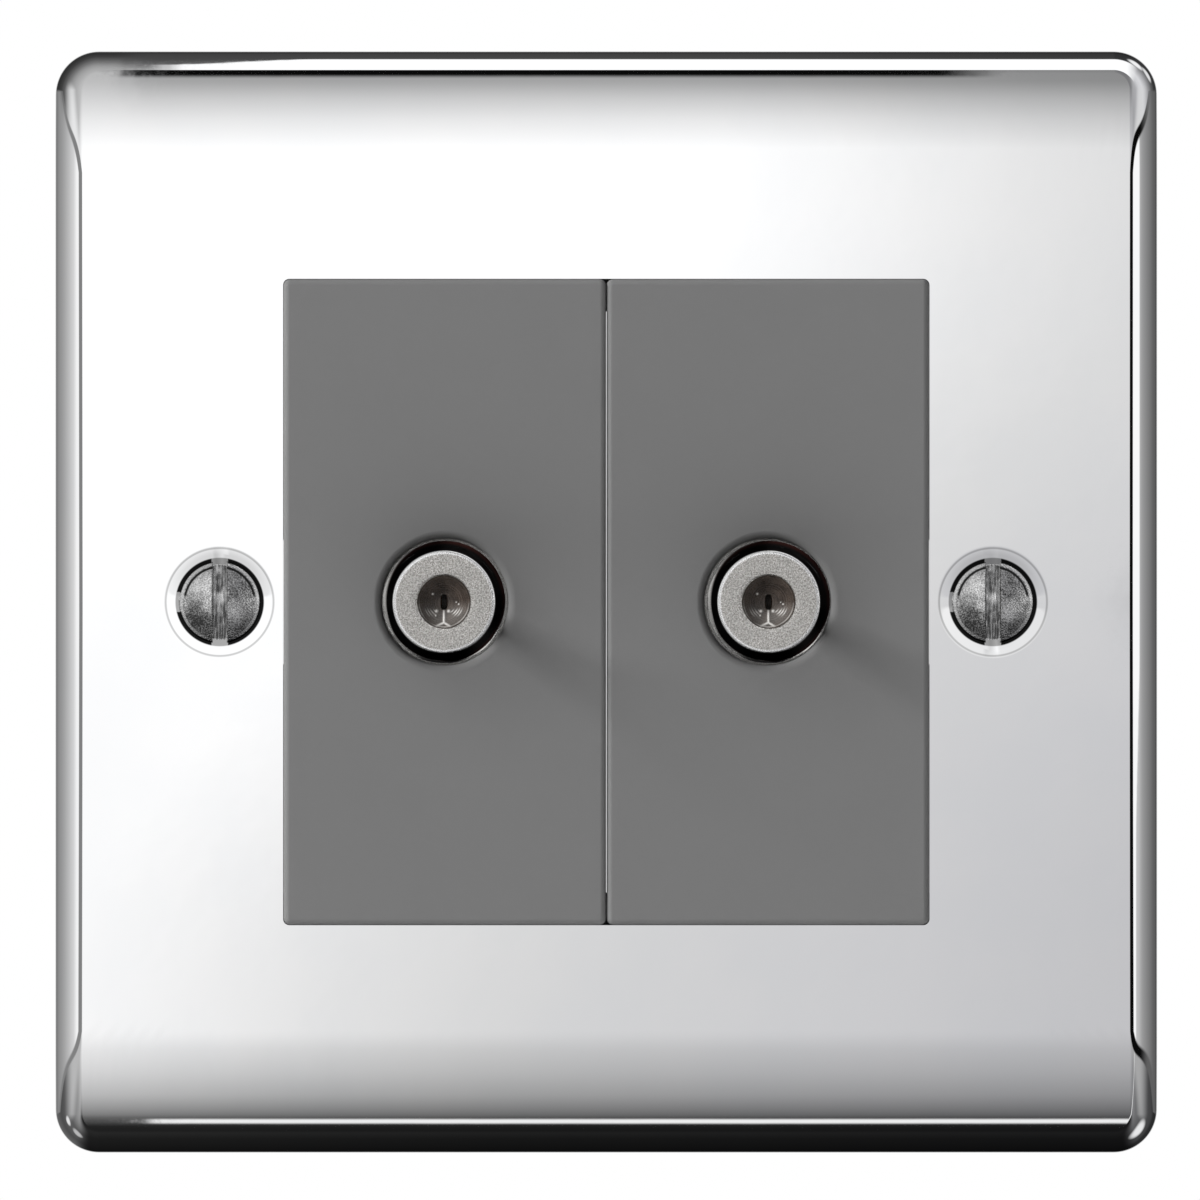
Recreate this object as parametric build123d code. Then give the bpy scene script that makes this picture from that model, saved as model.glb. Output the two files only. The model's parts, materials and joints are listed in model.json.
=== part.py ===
from build123d import *
import os
from math import asin, cos, sin, sqrt

# Satellite socket outlet. A pressed square faceplate hides a moulded support frame.
# The frame holds two half-width modules, and each carries a screw-on coaxial connector
# that passes through to the back. Two raised slotted screws fix the plate to a wall box.
# Millimetres. X runs to the right, Z runs up and the front faces -Y.
# Y = 0 is the wall, at the back edge of the faceplate, and the origin is the plate's centre.

# Faceplate, a metal pressing
plate_margin = 17.8
plate_depth = 8.0
sheet = 1.0
plate_corner = 3.4
face_roll = 2.2
crown_radius = 38.0
crown_reach = 9.5
aperture_corner = 0.5
aperture_lip = 0.15
stud_radius = 1.5
stud_stand = 1.9

# Wall fixing, a pair of raised countersunk slotted screws in pressed dimples
dimple_radius = 4.0
dimple_web = 0.95
dimple_lip = 1.0
dimple_land = 0.4
screw_hole_radius = 2.0
screw_seat_gap = 0.04
fixing_head_radius = 3.2
fixing_head_band = 0.25
fixing_head_dome = 0.5
fixing_slot_width = 1.1
fixing_slot_depth = 1.0
fixing_neck_radius = 1.55
fixing_neck_end = 1.1
fixing_thread_radius = 1.75
fixing_length = 30.0
fixing_point = 0.7

# Modules, half-width mouldings that snap into the support frame
module_width = 25.13
module_height = 50.3
module_gap = 0.04
module_clearance = 0.05
module_proud = 0.8
module_edge = 0.5
module_face_wall = 2.0
skirt_depth = 12.8
skirt_wall = 1.5
skirt_side_inset = 0.5
skirt_clearance = 0.15
skirt_corner = 0.8
snap_width = 8.0
snap_hook = 0.9
snap_hook_length = 2.9
snap_gap = 0.05
snap_slot = 1.2
boss_wall = 1.68
boss_rib = 1.2
boss_rib_drop = 1.5
post_radius = 2.6
post_gap = 0.75
post_bore_depth = 6.0

# Support frame, a moulding behind the faceplate
frame_thickness = 2.5
ledge_thickness = 1.5
ledge_width = 2.45
frame_corner = 3.0
frame_side_margin = 1.8
frame_crown_margin = 0.5
frame_rib = 1.6
frame_rib_height = 1.5
frame_notch_clearance = 0.45
frame_stud_clearance = 0.15

# Push-on retainers, spring steel
retainer_radius = 3.4
retainer_margin = 0.5
retainer_flange = 0.9
retainer_gauge = 0.4
retainer_rise = 0.5
retainer_bite_gap = 0.02
retainer_slots = 6
retainer_slot_width = 0.6

# Coaxial connector, the same at the front and the back
thread_radius = 4.7625
nose_chamfer = 0.81
nose_bore_radius = 2.05
nose_lip = 1.2
front_reach = 9.0
rear_reach = 15.0
relief_depth = 0.16
relief_run = 0.4
barrel_bore_radius = 3.2
hex_across = 11.1
hex_thickness = 3.0
hex_setback = 5.3
hex_clearance = 0.1
panel_hole_clearance = 0.19
panel_hole_lip = 0.6

# Insulators and the twin-leaf contact inside each connector
insulator_clearance = 0.02
funnel_radius = 0.75
funnel_depth = 1.0
contact_slot_width = 0.56
contact_slot_height = 1.2
contact_wall = 0.8
channel_clearance = 0.25
contact_gauge = 0.22
contact_width = 1.6
contact_root = 0.55
contact_pinch = 0.1
contact_flare = 0.3
contact_web = 4.0
contact_end_gap = 0.3

# Clamp plate, lock washer and nut behind each connector's hexagon
clamp_thickness = 1.0
clamp_lug_radius = 3.4
clamp_hole_clearance = 0.2
washer_radius = 6.5
washer_thickness = 0.7
washer_clearance = 0.1
washer_teeth = 8
washer_notch_width = 1.4
washer_notch_depth = 0.8
nut_across = 12.7
nut_thickness = 2.4
nut_clearance = 0.02
nut_chamfer = 0.5

# Clamp plate screws, self-tapping
tapping_head_radius = 2.4
tapping_head_height = 1.7
tapping_head_round = 0.8
tapping_shank_radius = 1.15
tapping_length = 6.0
tapping_point = 1.0
tapping_recess_width = 0.7
tapping_recess_length = 2.8
tapping_recess_depth = 0.9
tapping_bore_gap = 0.02
tapping_hole_gap = 0.2

# Earth terminal on the lower right stud
earth_gauge = 0.8
earth_room_gap = 0.35
earth_foot_margin = 3.6
earth_tab_height = 3.5
earth_bend = 0.6
earth_corner = 2.0
earth_block_stud_gap = 1.5
earth_block_length = 9.0
earth_block_height = 10.0
earth_block_tab_gap = 0.8
earth_block_chamfer = 0.5
earth_spigot_radius = 1.4
earth_spigot_gap = 0.02
earth_wire_radius = 1.6
earth_wire_height = 5.7
earth_screw_radius = 1.75
earth_screw_gap = 0.03
earth_screw_travel = 3.0
earth_screw_rest_gap = 0.15
earth_screw_foot_gap = 0.3
earth_point_radius = 0.9
earth_point_gap = 0.15
earth_head_radius = 2.9
earth_head_height = 1.8
earth_slot_width = 0.8
earth_slot_depth = 0.9
earth_screw_chamfer = 0.3

# Planes along Y that several pieces share
y_face = -plate_depth
y_sheet_back = y_face + sheet
y_frame_back = y_sheet_back + frame_thickness
y_ledge = y_frame_back - ledge_thickness
y_module_face = y_face - module_proud
y_module_floor = y_module_face + module_face_wall
y_skirt_back = y_module_face + skirt_depth
y_hex_front = y_module_face + hex_setback
y_clamp_seat = y_hex_front + hex_thickness
y_clamp_back = y_clamp_seat + clamp_thickness
y_nut_front = y_clamp_back + washer_thickness
y_nut_back = y_nut_front + nut_thickness
y_nose = y_module_face - front_reach
y_tail = y_clamp_seat + rear_reach
y_joint = (y_nose + y_tail) / 2

# Places and outlines that several pieces share
module_x = (module_width + module_gap) / 2
aperture_width = 2 * module_width + module_gap + 2 * module_clearance
aperture_height = module_height + 2 * module_clearance
plate_side = max(aperture_width, aperture_height) + 2 * plate_margin
face_flat = plate_side / 2 - crown_reach
screw_x = aperture_width / 2 + dimple_web + dimple_radius
frame_width = plate_side - 2 * (face_roll + frame_side_margin)
frame_height = 2 * (face_flat - frame_crown_margin)
stud_inset = frame_rib + retainer_margin + retainer_radius
stud_x = frame_width / 2 - stud_inset
stud_z = frame_height / 2 - stud_inset
ledge_opening = module_height - 2 * ledge_width
skirt_height = ledge_opening - 2 * skirt_clearance
skirt_width = module_width - 2 * skirt_side_inset
dimple_back_radius = dimple_radius + (sqrt(2) - 1) * sheet
y_dimple_hole = y_face + dimple_radius - screw_hole_radius
stud_hole_radius = stud_radius + frame_stud_clearance
nose_radius = thread_radius - nose_chamfer
relief_radius = thread_radius - relief_depth
panel_hole_radius = thread_radius + panel_hole_clearance
boss_radius = (hex_across + 2 * hex_clearance) / sqrt(3) + boss_wall
post_z = nut_across / sqrt(3) + tapping_head_radius + post_gap
contact_web_width = 2 * (contact_root + contact_gauge)
earth_top = skirt_height / 2 + snap_hook + earth_room_gap
earth_foot = frame_height / 2 - frame_rib - earth_room_gap
earth_z = -(earth_top + earth_foot) / 2
earth_half_height = (earth_foot - earth_top) / 2
earth_block_x = stud_x - retainer_radius - earth_block_stud_gap - earth_block_length / 2
insulator_radius = barrel_bore_radius - insulator_clearance
hex_corner_turn = 30

SIDES = (("left", -1), ("right", 1))
ENDS = (("upper", 1), ("lower", -1))


def slab(outline, y_front, y_back):
    """A flat outline in X and Z given thickness along Y."""
    return extrude(Plane.XZ.offset(-y_back) * outline, amount=y_back - y_front)


def rod(radius, y_front, y_back, x=0.0, z=0.0):
    """A round bar along Y."""
    return slab(Pos(x, z) * Circle(radius), y_front, y_back)


def turned(section):
    """A round piece about the Y axis, from its half section as (radius, y) points."""
    return revolve(make_face(Polyline(*section, close=True)), Axis.Y)


def hexagon(across):
    """A hexagon of this size across its flats, with two flats upright."""
    return RegularPolygon(across / sqrt(3), 6, rotation=hex_corner_turn)


def on_outline(edge, half, corner, y_limit):
    """Whether an edge runs round the front of a square block, outside its corner centres."""
    centre = edge.center()
    along_y = abs(edge.tangent_at(0.5).Y) > 0.9
    outside = max(abs(centre.X), abs(centre.Z)) > half - corner
    return outside and not along_y and centre.Y < y_limit


def pan_block(side, corner, depth, roll, crown, reach, y_back):
    """A square block: its front falls back in an arc at the top and bottom, and its rim is rolled."""
    half = side / 2
    flat = half - reach
    y_rim = crown - sqrt(crown**2 - reach**2) - depth
    upper = TangentArc((-depth, flat), (y_rim, half), tangent=(0, 1))
    lower = TangentArc((-depth, -flat), (y_rim, -half), tangent=(0, -1))
    front = Line((-depth, flat), (-depth, -flat))
    back = Polyline((y_rim, half), (y_back, half), (y_back, -half), (y_rim, -half))
    section = make_face([upper, lower, front] + back.edges())
    block = extrude(Plane.YZ.offset(-half) * section, amount=side)
    block = fillet(block.edges().filter_by(Axis.Y), corner)
    rim = [edge for edge in block.edges() if on_outline(edge, half, corner, y_rim + roll)]
    return fillet(rim, roll)


def dimple_wall():
    """The back of a pressed dimple, a cone one sheet thick, with a flat end round the screw hole."""
    y_start = y_face + sheet / 2
    y_end = y_dimple_hole + dimple_land
    r_start = dimple_radius - sheet / 2 + sqrt(2) * sheet
    r_end = dimple_radius - (y_end - y_face) + sqrt(2) * sheet
    return turned([(0, y_start), (r_start, y_start), (r_end, y_end), (0, y_end)])


def dimple_hollow():
    """The front of a pressed dimple, a 45 degree cone that ends in the screw hole."""
    over = 1.0
    r_over = dimple_radius + over
    y_end = y_dimple_hole + dimple_land + over
    cone = [(0, y_face - over), (r_over, y_face - over), (screw_hole_radius, y_dimple_hole)]
    return turned(cone + [(screw_hole_radius, y_end), (0, y_end)])


def faceplate():
    """The pressed cover: a hollow pan with a square aperture, two dimples and four welded studs."""
    plate = pan_block(plate_side, plate_corner, plate_depth, face_roll, crown_radius, crown_reach, 0)
    hollow = pan_block(
        plate_side - 2 * sheet,
        plate_corner - sheet,
        plate_depth - sheet,
        face_roll - sheet,
        crown_radius - sheet,
        crown_reach - sheet,
        sheet,
    )
    plate -= hollow
    for x in (-screw_x, screw_x):
        plate += Pos(x, 0, 0) * dimple_wall()
        plate -= Pos(x, 0, 0) * dimple_hollow()
    opening = RectangleRounded(aperture_width, aperture_height, aperture_corner)
    plate -= slab(opening, y_face - sheet, y_sheet_back + sheet)
    for x in (-stud_x, stud_x):
        for z in (-stud_z, stud_z):
            plate += rod(stud_radius, y_sheet_back - sheet / 2, y_frame_back + stud_stand, x, z)
    front = plate.edges().filter_by_position(Axis.Y, y_face - 0.01, y_face + 0.01)
    near = aperture_height / 2 + aperture_lip
    lip = [e for e in front if abs(e.center().X) < near and abs(e.center().Z) < near]
    plate = fillet(lip, aperture_lip)
    rings = plate.edges().filter_by(GeomType.CIRCLE)
    rings = rings.filter_by_position(Axis.Y, y_face - 0.01, y_face + 0.01)
    return fillet([e for e in rings if abs(e.radius - dimple_radius) < 0.01], dimple_lip)


def support_frame():
    """The moulding behind the plate: it steps in at the top and bottom to a ledge for the modules."""
    outline = RectangleRounded(frame_width, frame_height, frame_corner)
    core_width = frame_width - 2 * frame_rib
    core_height = frame_height - 2 * frame_rib
    core = RectangleRounded(core_width, core_height, frame_corner - frame_rib)
    frame = slab(outline, y_sheet_back, y_frame_back)
    frame += slab(outline - core, y_frame_back, y_frame_back + frame_rib_height)
    window = RectangleRounded(aperture_width, aperture_height, aperture_corner)
    frame -= slab(window, y_sheet_back - 1, y_ledge)
    frame -= slab(Rectangle(aperture_width, ledge_opening), y_sheet_back, y_frame_back + 1)
    notch = dimple_back_radius + frame_notch_clearance
    for side in (-1, 1):
        frame -= rod(notch, y_sheet_back - 1, y_frame_back + 1, side * screw_x)
        way_in = Pos(side * screw_x / 2, 0) * Rectangle(screw_x, 2 * notch)
        frame -= slab(way_in, y_sheet_back - 1, y_frame_back + 1)
        for z in (-stud_z, stud_z):
            frame -= rod(stud_hole_radius, y_sheet_back - 1, y_frame_back + 1, side * stud_x, z)
    return frame


def retainer():
    """A push-on star retainer: a flat ring whose slotted middle rises in a cone to grip the stud."""
    r_grip = stud_radius + retainer_bite_gap
    r_cone = retainer_radius - retainer_flange
    ring = turned(
        [
            (r_grip, retainer_rise),
            (r_cone, 0),
            (retainer_radius, 0),
            (retainer_radius, retainer_gauge),
            (r_cone, retainer_gauge),
            (r_grip, retainer_rise + retainer_gauge),
        ]
    )
    top = retainer_rise + 2 * retainer_gauge
    slot_run = Pos(r_cone / 2, 0) * Rectangle(r_cone, retainer_slot_width)
    for turn in range(retainer_slots):
        ring -= slab(Rot(0, 0, turn * 360 / retainer_slots) * slot_run, -retainer_gauge, top)
    return ring


def snap_hooks():
    """The two wedge hooks, above and below, that catch behind the support frame's ledge."""
    z_wall = skirt_height / 2
    y_catch = y_frame_back + snap_gap
    hooks = []
    for way in (-1, 1):
        wedge = Polyline(
            (y_catch, way * (z_wall - skirt_wall / 2)),
            (y_catch, way * (z_wall + snap_hook)),
            (y_catch + snap_hook_length, way * z_wall),
            (y_catch + snap_hook_length, way * (z_wall - skirt_wall / 2)),
            close=True,
        )
        hooks.append(extrude(Plane.YZ.offset(-snap_width / 2) * make_face(wedge), amount=snap_width))
    return hooks


def module_housing():
    """A half-width moulding: a flanged face, an open-backed skirt with snap arms, and a hexagon boss."""
    shell = slab(RectangleRounded(module_width, module_height, module_edge), y_module_face, y_ledge)
    shell += slab(RectangleRounded(skirt_width, skirt_height, skirt_corner), y_ledge, y_skirt_back)
    inner_width = skirt_width - 2 * skirt_wall
    inner_height = skirt_height - 2 * skirt_wall
    shell -= slab(Rectangle(inner_width, inner_height), y_module_floor, y_skirt_back + 1)
    shell += rod(boss_radius, y_module_floor, y_clamp_seat)
    for z in (-post_z, post_z):
        shell += rod(post_radius, y_module_floor, y_clamp_seat, 0, z)
    shell += slab(Rectangle(inner_width, boss_rib), y_module_floor, y_clamp_seat - boss_rib_drop)
    for hook in snap_hooks():
        shell += hook
    arm_cut = (snap_width + snap_slot) / 2
    for x in (-arm_cut, arm_cut):
        cut = Pos(x, 0) * Rectangle(snap_slot, skirt_height + 1)
        hold = slab(cut, y_frame_back, y_skirt_back + 1)
        hold -= slab(Rectangle(skirt_width, inner_height), y_frame_back, y_skirt_back + 1)
        shell -= hold
    for z in (-post_z, post_z):
        bore = tapping_shank_radius + tapping_bore_gap
        shell -= rod(bore, y_clamp_seat - post_bore_depth, y_clamp_seat, 0, z)
    shell -= rod(panel_hole_radius, y_module_face - 1, y_clamp_seat)
    pocket = hexagon(hex_across + 2 * hex_clearance)
    shell -= slab(pocket, y_hex_front - hex_clearance / 2, y_clamp_seat + 1)
    front = shell.edges().filter_by_position(Axis.Y, y_module_face - 0.01, y_module_face + 0.01)
    hole = front.filter_by(GeomType.CIRCLE).sort_by(SortBy.RADIUS)[-1]
    shell = fillet(hole, panel_hole_lip)
    front = shell.edges().filter_by_position(Axis.Y, y_module_face - 0.01, y_module_face + 0.01)
    rim = [e for e in front if max(abs(e.center().X) * 2, abs(e.center().Z)) > module_width * 0.95]
    return fillet(rim, module_edge * 0.9)


def connector_barrel():
    """The connector's body: a threaded tube with a nose at each end and a hexagon in the middle."""
    y_relief_front = y_module_face - relief_run
    y_relief_back = y_nut_back + relief_run
    barrel = turned(
        [
            (nose_bore_radius, y_nose),
            (nose_radius, y_nose),
            (thread_radius, y_nose + nose_chamfer),
            (thread_radius, y_relief_front),
            (relief_radius, y_relief_front),
            (relief_radius, y_relief_back),
            (thread_radius, y_relief_back),
            (thread_radius, y_tail - nose_chamfer),
            (nose_radius, y_tail),
            (nose_bore_radius, y_tail),
            (nose_bore_radius, y_tail - nose_lip),
            (barrel_bore_radius, y_tail - nose_lip),
            (barrel_bore_radius, y_nose + nose_lip),
            (nose_bore_radius, y_nose + nose_lip),
        ]
    )
    collar = hexagon(hex_across) - Circle(relief_radius)
    return barrel + slab(collar, y_hex_front, y_clamp_seat)


def insulator(y_end, inward):
    """Half of the insulator: a plug with a funnel mouth at y_end, a slot and a channel for the contact."""
    y_floor = y_end + inward * funnel_depth
    y_channel = y_floor + inward * contact_wall
    section = [(0, y_floor), (funnel_radius, y_floor), (nose_bore_radius, y_end)]
    section += [(insulator_radius, y_end), (insulator_radius, y_joint), (0, y_joint)]
    plug = turned(section)
    mouth = Rectangle(contact_slot_width, contact_slot_height)
    plug -= slab(mouth, min(y_end, y_joint), max(y_end, y_joint))
    channel = Rectangle(
        contact_web_width + 2 * channel_clearance,
        contact_width + 2 * channel_clearance,
    )
    return plug - slab(channel, min(y_channel, y_joint), max(y_channel, y_joint))


def leaf(y_root, y_tip):
    """One spring leaf seen along Z: it bows in to the pinch and flares out again at its tip."""
    y_mid = (y_root + 2 * y_tip) / 3
    inner = ThreePointArc((contact_root, y_root), (contact_pinch, y_mid), (contact_flare, y_tip))
    outer = Pos(contact_gauge, 0) * inner
    foot = Line(inner @ 0, outer @ 0)
    tip = Line(inner @ 1, outer @ 1)
    return make_face([inner, tip, outer, foot])


def centre_contact():
    """The twin-leaf contact: a web in the middle, with a pair of leaves towards each end."""
    reach = nose_lip + funnel_depth + contact_wall + contact_end_gap
    half_web = contact_web / 2
    outline = Pos(0, y_joint) * Rectangle(contact_web_width, contact_web)
    for y_root, y_tip in ((y_joint - half_web, y_nose + reach), (y_joint + half_web, y_tail - reach)):
        blade = leaf(y_root, y_tip)
        outline += [blade, mirror(blade, Plane.YZ)]
    return extrude(outline, amount=contact_width / 2, both=True)


def clamp_plate():
    """The lozenge plate that holds a connector in its housing, with a screw lug above and below."""
    lugs = [Pos(0, z) * Circle(clamp_lug_radius) for z in (-post_z, post_z)]
    outline = make_hull((Circle(boss_radius) + lugs).edges())
    plate = slab(outline, y_clamp_seat, y_clamp_back)
    plate -= rod(relief_radius + clamp_hole_clearance, y_clamp_seat, y_clamp_back)
    for z in (-post_z, post_z):
        plate -= rod(tapping_shank_radius + tapping_hole_gap, y_clamp_seat, y_clamp_back, 0, z)
    return plate


def lock_washer():
    """A flat washer with teeth round its hole."""
    r_teeth = relief_radius + washer_clearance
    washer = Circle(washer_radius) - Circle(r_teeth)
    notch = Pos(r_teeth + washer_notch_depth / 2, 0)
    notch *= Rectangle(2 * washer_notch_depth, washer_notch_width)
    for tooth in range(washer_teeth):
        washer -= Rot(0, 0, tooth * 360 / washer_teeth) * notch
    return slab(washer, y_clamp_back, y_nut_front)


def hex_nut():
    """A hexagon nut whose corners are turned down at both faces."""
    bar = hexagon(nut_across) - Circle(relief_radius + nut_clearance)
    nut = slab(bar, y_nut_front, y_nut_back)
    r_face = nut_across / 2
    r_mid = r_face + 2 * nut_chamfer
    blank = turned(
        [
            (0, y_nut_front),
            (r_face, y_nut_front),
            (r_mid, y_nut_front + nut_chamfer),
            (r_mid, y_nut_back - nut_chamfer),
            (r_face, y_nut_back),
            (0, y_nut_back),
        ]
    )
    return nut & blank


def tapping_screw():
    """A small pan-head self-tapping screw with a cross recess, its head on the clamp plate."""
    y_top = y_clamp_back + tapping_head_height
    y_tip = y_clamp_back - tapping_length
    screw = turned(
        [
            (0, y_tip),
            (tapping_shank_radius, y_tip + tapping_point),
            (tapping_shank_radius, y_clamp_back),
            (tapping_head_radius, y_clamp_back),
            (tapping_head_radius, y_top),
            (0, y_top),
        ]
    )
    rim = screw.edges().filter_by_position(Axis.Y, y_top - 0.01, y_top + 0.01)
    screw = fillet(rim, tapping_head_round)
    cross = Rectangle(tapping_recess_length, tapping_recess_width)
    cross += Rectangle(tapping_recess_width, tapping_recess_length)
    return screw - slab(cross, y_top - tapping_recess_depth, y_top + 1)


def fixing_screw():
    """A raised countersunk screw: domed slotted head, cone, plain neck and threaded length."""
    y_cone = y_face + dimple_radius - fixing_head_radius - sqrt(2) * screw_seat_gap
    y_rim = y_cone - fixing_head_band
    y_top = y_rim - fixing_head_dome
    y_neck = y_cone + fixing_head_radius - fixing_neck_radius
    y_thread = y_dimple_hole + fixing_neck_end
    y_tip = y_rim + fixing_length
    sphere = (fixing_head_radius**2 + fixing_head_dome**2) / (2 * fixing_head_dome)
    half_turn = asin(fixing_head_radius / sphere) / 2
    middle = (sphere * sin(half_turn), y_top + sphere * (1 - cos(half_turn)))
    dome = ThreePointArc((0, y_top), middle, (fixing_head_radius, y_rim))
    side = Polyline(
        (fixing_head_radius, y_rim),
        (fixing_head_radius, y_cone),
        (fixing_neck_radius, y_neck),
        (fixing_neck_radius, y_thread),
        (fixing_thread_radius, y_thread + fixing_thread_radius - fixing_neck_radius),
        (fixing_thread_radius, y_tip - fixing_point),
        (fixing_thread_radius - fixing_point, y_tip),
        (0, y_tip),
        (0, y_top),
    )
    screw = revolve(make_face([dome] + side.edges()), Axis.Y)
    slot = Rectangle(fixing_slot_width, 4 * fixing_head_radius)
    return screw - slab(slot, y_top - 1, y_top + fixing_slot_depth)


def earth_bracket():
    """A folded steel strip on the lower right stud, with an upturned tab beside the terminal block."""
    x_tab = earth_block_x - earth_block_length / 2 - earth_block_tab_gap - earth_gauge
    x_end = stud_x + earth_foot_margin
    y_foot = y_frame_back + earth_gauge
    y_tab = y_foot + earth_tab_height
    fold = Polyline(
        (x_end, y_frame_back),
        (x_tab, y_frame_back),
        (x_tab, y_tab),
        (x_tab + earth_gauge, y_tab),
        (x_tab + earth_gauge, y_foot),
        (x_end, y_foot),
        close=True,
    )
    strip = extrude(make_face(fold), amount=earth_half_height, both=True)
    strip = Pos(0, 0, earth_z) * strip
    for x_bend, radius in ((x_tab, earth_bend + earth_gauge), (x_tab + earth_gauge, earth_bend)):
        upright = [e for e in strip.edges().filter_by(Axis.Z) if abs(e.center().X - x_bend) < 0.01]
        strip = fillet([e for e in upright if e.center().Y < y_foot + 0.01], radius)
    ends = [e for e in strip.edges().filter_by(Axis.Y) if abs(e.center().X - x_end) < 0.01]
    strip = fillet(ends, earth_corner)
    strip -= rod(stud_hole_radius, y_frame_back - 1, y_foot + 1, stud_x, -stud_z)
    spigot_hole = earth_spigot_radius + earth_spigot_gap
    return strip - rod(spigot_hole, y_frame_back - 1, y_foot + 1, earth_block_x, earth_z)


def earth_block():
    """The brass terminal block: a riveted spigot, a wire hole along X and a tapped hole from the back."""
    y_foot = y_frame_back + earth_gauge
    y_wire = y_foot + earth_wire_height
    y_top = y_foot + earth_block_height
    body = slab(Rectangle(earth_block_length, 2 * earth_half_height), y_foot, y_top)
    body = chamfer(body.edges().filter_by(Axis.Y), earth_block_chamfer)
    body = chamfer(body.faces().sort_by(Axis.Y)[-1].edges(), earth_block_chamfer)
    body += rod(earth_spigot_radius, y_frame_back, y_foot)
    drill = Plane.YZ.offset(-earth_block_length) * Pos(y_wire, 0) * Circle(earth_wire_radius)
    body -= extrude(drill, amount=2 * earth_block_length)
    body -= rod(earth_screw_radius + earth_screw_gap, y_wire, y_top + 1)
    return Pos(earth_block_x, 0, earth_z) * body


def earth_screw():
    """The cheese-head clamp screw with its narrow point, drawn backed off from the wire hole."""
    y_foot = y_frame_back + earth_gauge
    y_tip = y_foot + earth_wire_height + earth_wire_radius + earth_screw_rest_gap
    y_shoulder = y_foot + earth_wire_height + earth_screw_travel + earth_point_gap
    y_head = y_foot + earth_block_height + earth_screw_travel + earth_screw_foot_gap
    y_top = y_head + earth_head_height
    screw = turned(
        [
            (0, y_tip),
            (earth_point_radius, y_tip),
            (earth_point_radius, y_shoulder),
            (earth_screw_radius, y_shoulder + earth_screw_radius - earth_point_radius),
            (earth_screw_radius, y_head),
            (earth_head_radius, y_head),
            (earth_head_radius, y_top - earth_screw_chamfer),
            (earth_head_radius - earth_screw_chamfer, y_top),
            (0, y_top),
        ]
    )
    slot = Rectangle(3 * earth_head_radius, earth_slot_width)
    screw -= slab(slot, y_top - earth_slot_depth, y_top + 1)
    return Pos(earth_block_x, 0, earth_z) * screw


def module_pieces():
    """Every piece of one module, about the connector's own axis."""
    pieces = {
        "module_housing": module_housing(),
        "connector_barrel": connector_barrel(),
        "front_insulator": insulator(y_nose + nose_lip, 1),
        "rear_insulator": insulator(y_tail - nose_lip, -1),
        "centre_contact": centre_contact(),
        "clamp_plate": clamp_plate(),
        "lock_washer": lock_washer(),
        "hex_nut": hex_nut(),
    }
    for end, way in ENDS:
        pieces[f"clamp_screw_{end}"] = Pos(0, 0, way * post_z) * tapping_screw()
    return pieces


def outlet():
    """All pieces by name, each where it lies in the finished outlet."""
    pieces = {"faceplate": faceplate(), "support_frame": support_frame()}
    for side, way in SIDES:
        for name, piece in module_pieces().items():
            pieces[f"{name}_{side}"] = Pos(way * module_x, 0, 0) * piece
        pieces[f"fixing_screw_{side}"] = Pos(way * screw_x, 0, 0) * fixing_screw()
        for end, up in ENDS:
            on_bracket = side == "right" and end == "lower"
            y_seat = y_frame_back + (earth_gauge if on_bracket else 0)
            pieces[f"retainer_{end}_{side}"] = Pos(way * stud_x, y_seat, up * stud_z) * retainer()
    pieces["earth_bracket"] = earth_bracket()
    pieces["earth_block"] = earth_block()
    pieces["earth_screw"] = earth_screw()
    return pieces


os.makedirs("parts", exist_ok=True)
for name, piece in outlet().items():
    export_step(piece, f"parts/{name}.step")
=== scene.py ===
import json
import math

import bmesh
import bpy
import numpy as np
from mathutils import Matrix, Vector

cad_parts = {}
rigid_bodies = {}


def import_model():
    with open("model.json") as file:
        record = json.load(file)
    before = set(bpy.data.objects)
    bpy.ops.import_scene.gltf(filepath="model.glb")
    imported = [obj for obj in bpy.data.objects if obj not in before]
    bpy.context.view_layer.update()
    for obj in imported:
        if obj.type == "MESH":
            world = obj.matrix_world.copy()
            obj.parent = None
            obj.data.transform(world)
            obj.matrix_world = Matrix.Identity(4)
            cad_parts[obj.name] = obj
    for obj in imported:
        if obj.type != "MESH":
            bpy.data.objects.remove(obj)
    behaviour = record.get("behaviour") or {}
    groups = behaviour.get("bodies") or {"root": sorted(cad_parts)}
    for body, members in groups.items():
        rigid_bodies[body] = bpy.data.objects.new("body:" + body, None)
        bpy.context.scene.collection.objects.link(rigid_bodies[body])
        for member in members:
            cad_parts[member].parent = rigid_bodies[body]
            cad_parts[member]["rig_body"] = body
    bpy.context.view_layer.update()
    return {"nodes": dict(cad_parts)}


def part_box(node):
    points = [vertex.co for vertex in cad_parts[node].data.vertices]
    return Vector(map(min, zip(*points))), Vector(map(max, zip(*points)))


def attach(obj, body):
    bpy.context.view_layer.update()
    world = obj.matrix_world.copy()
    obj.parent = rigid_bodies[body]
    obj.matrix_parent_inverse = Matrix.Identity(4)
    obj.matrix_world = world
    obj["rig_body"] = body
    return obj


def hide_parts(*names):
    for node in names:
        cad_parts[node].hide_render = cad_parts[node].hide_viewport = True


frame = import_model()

# A satellite socket outlet, seen straight from the front: a polished square faceplate, two grey
# half-width modules with screw-on connectors, and two slotted fixing screws.
# Metres. X runs to the right, Z runs up and the front faces -Y, as in the frame.

MM = 0.001
nodes = frame["nodes"]

# Places read from the frame
plate_low, plate_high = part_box("faceplate")
barrel_low, barrel_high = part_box("connector_barrel_right")
housing_low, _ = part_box("module_housing_right")
_, nut_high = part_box("hex_nut_right")
insulator_low, insulator_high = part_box("front_insulator_right")
fixing_low, fixing_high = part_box("fixing_screw_right")
plate_front_y = plate_low.y
connector_x = (barrel_low.x + barrel_high.x) / 2
fixing_x = (fixing_low.x + fixing_high.x) / 2

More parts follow.
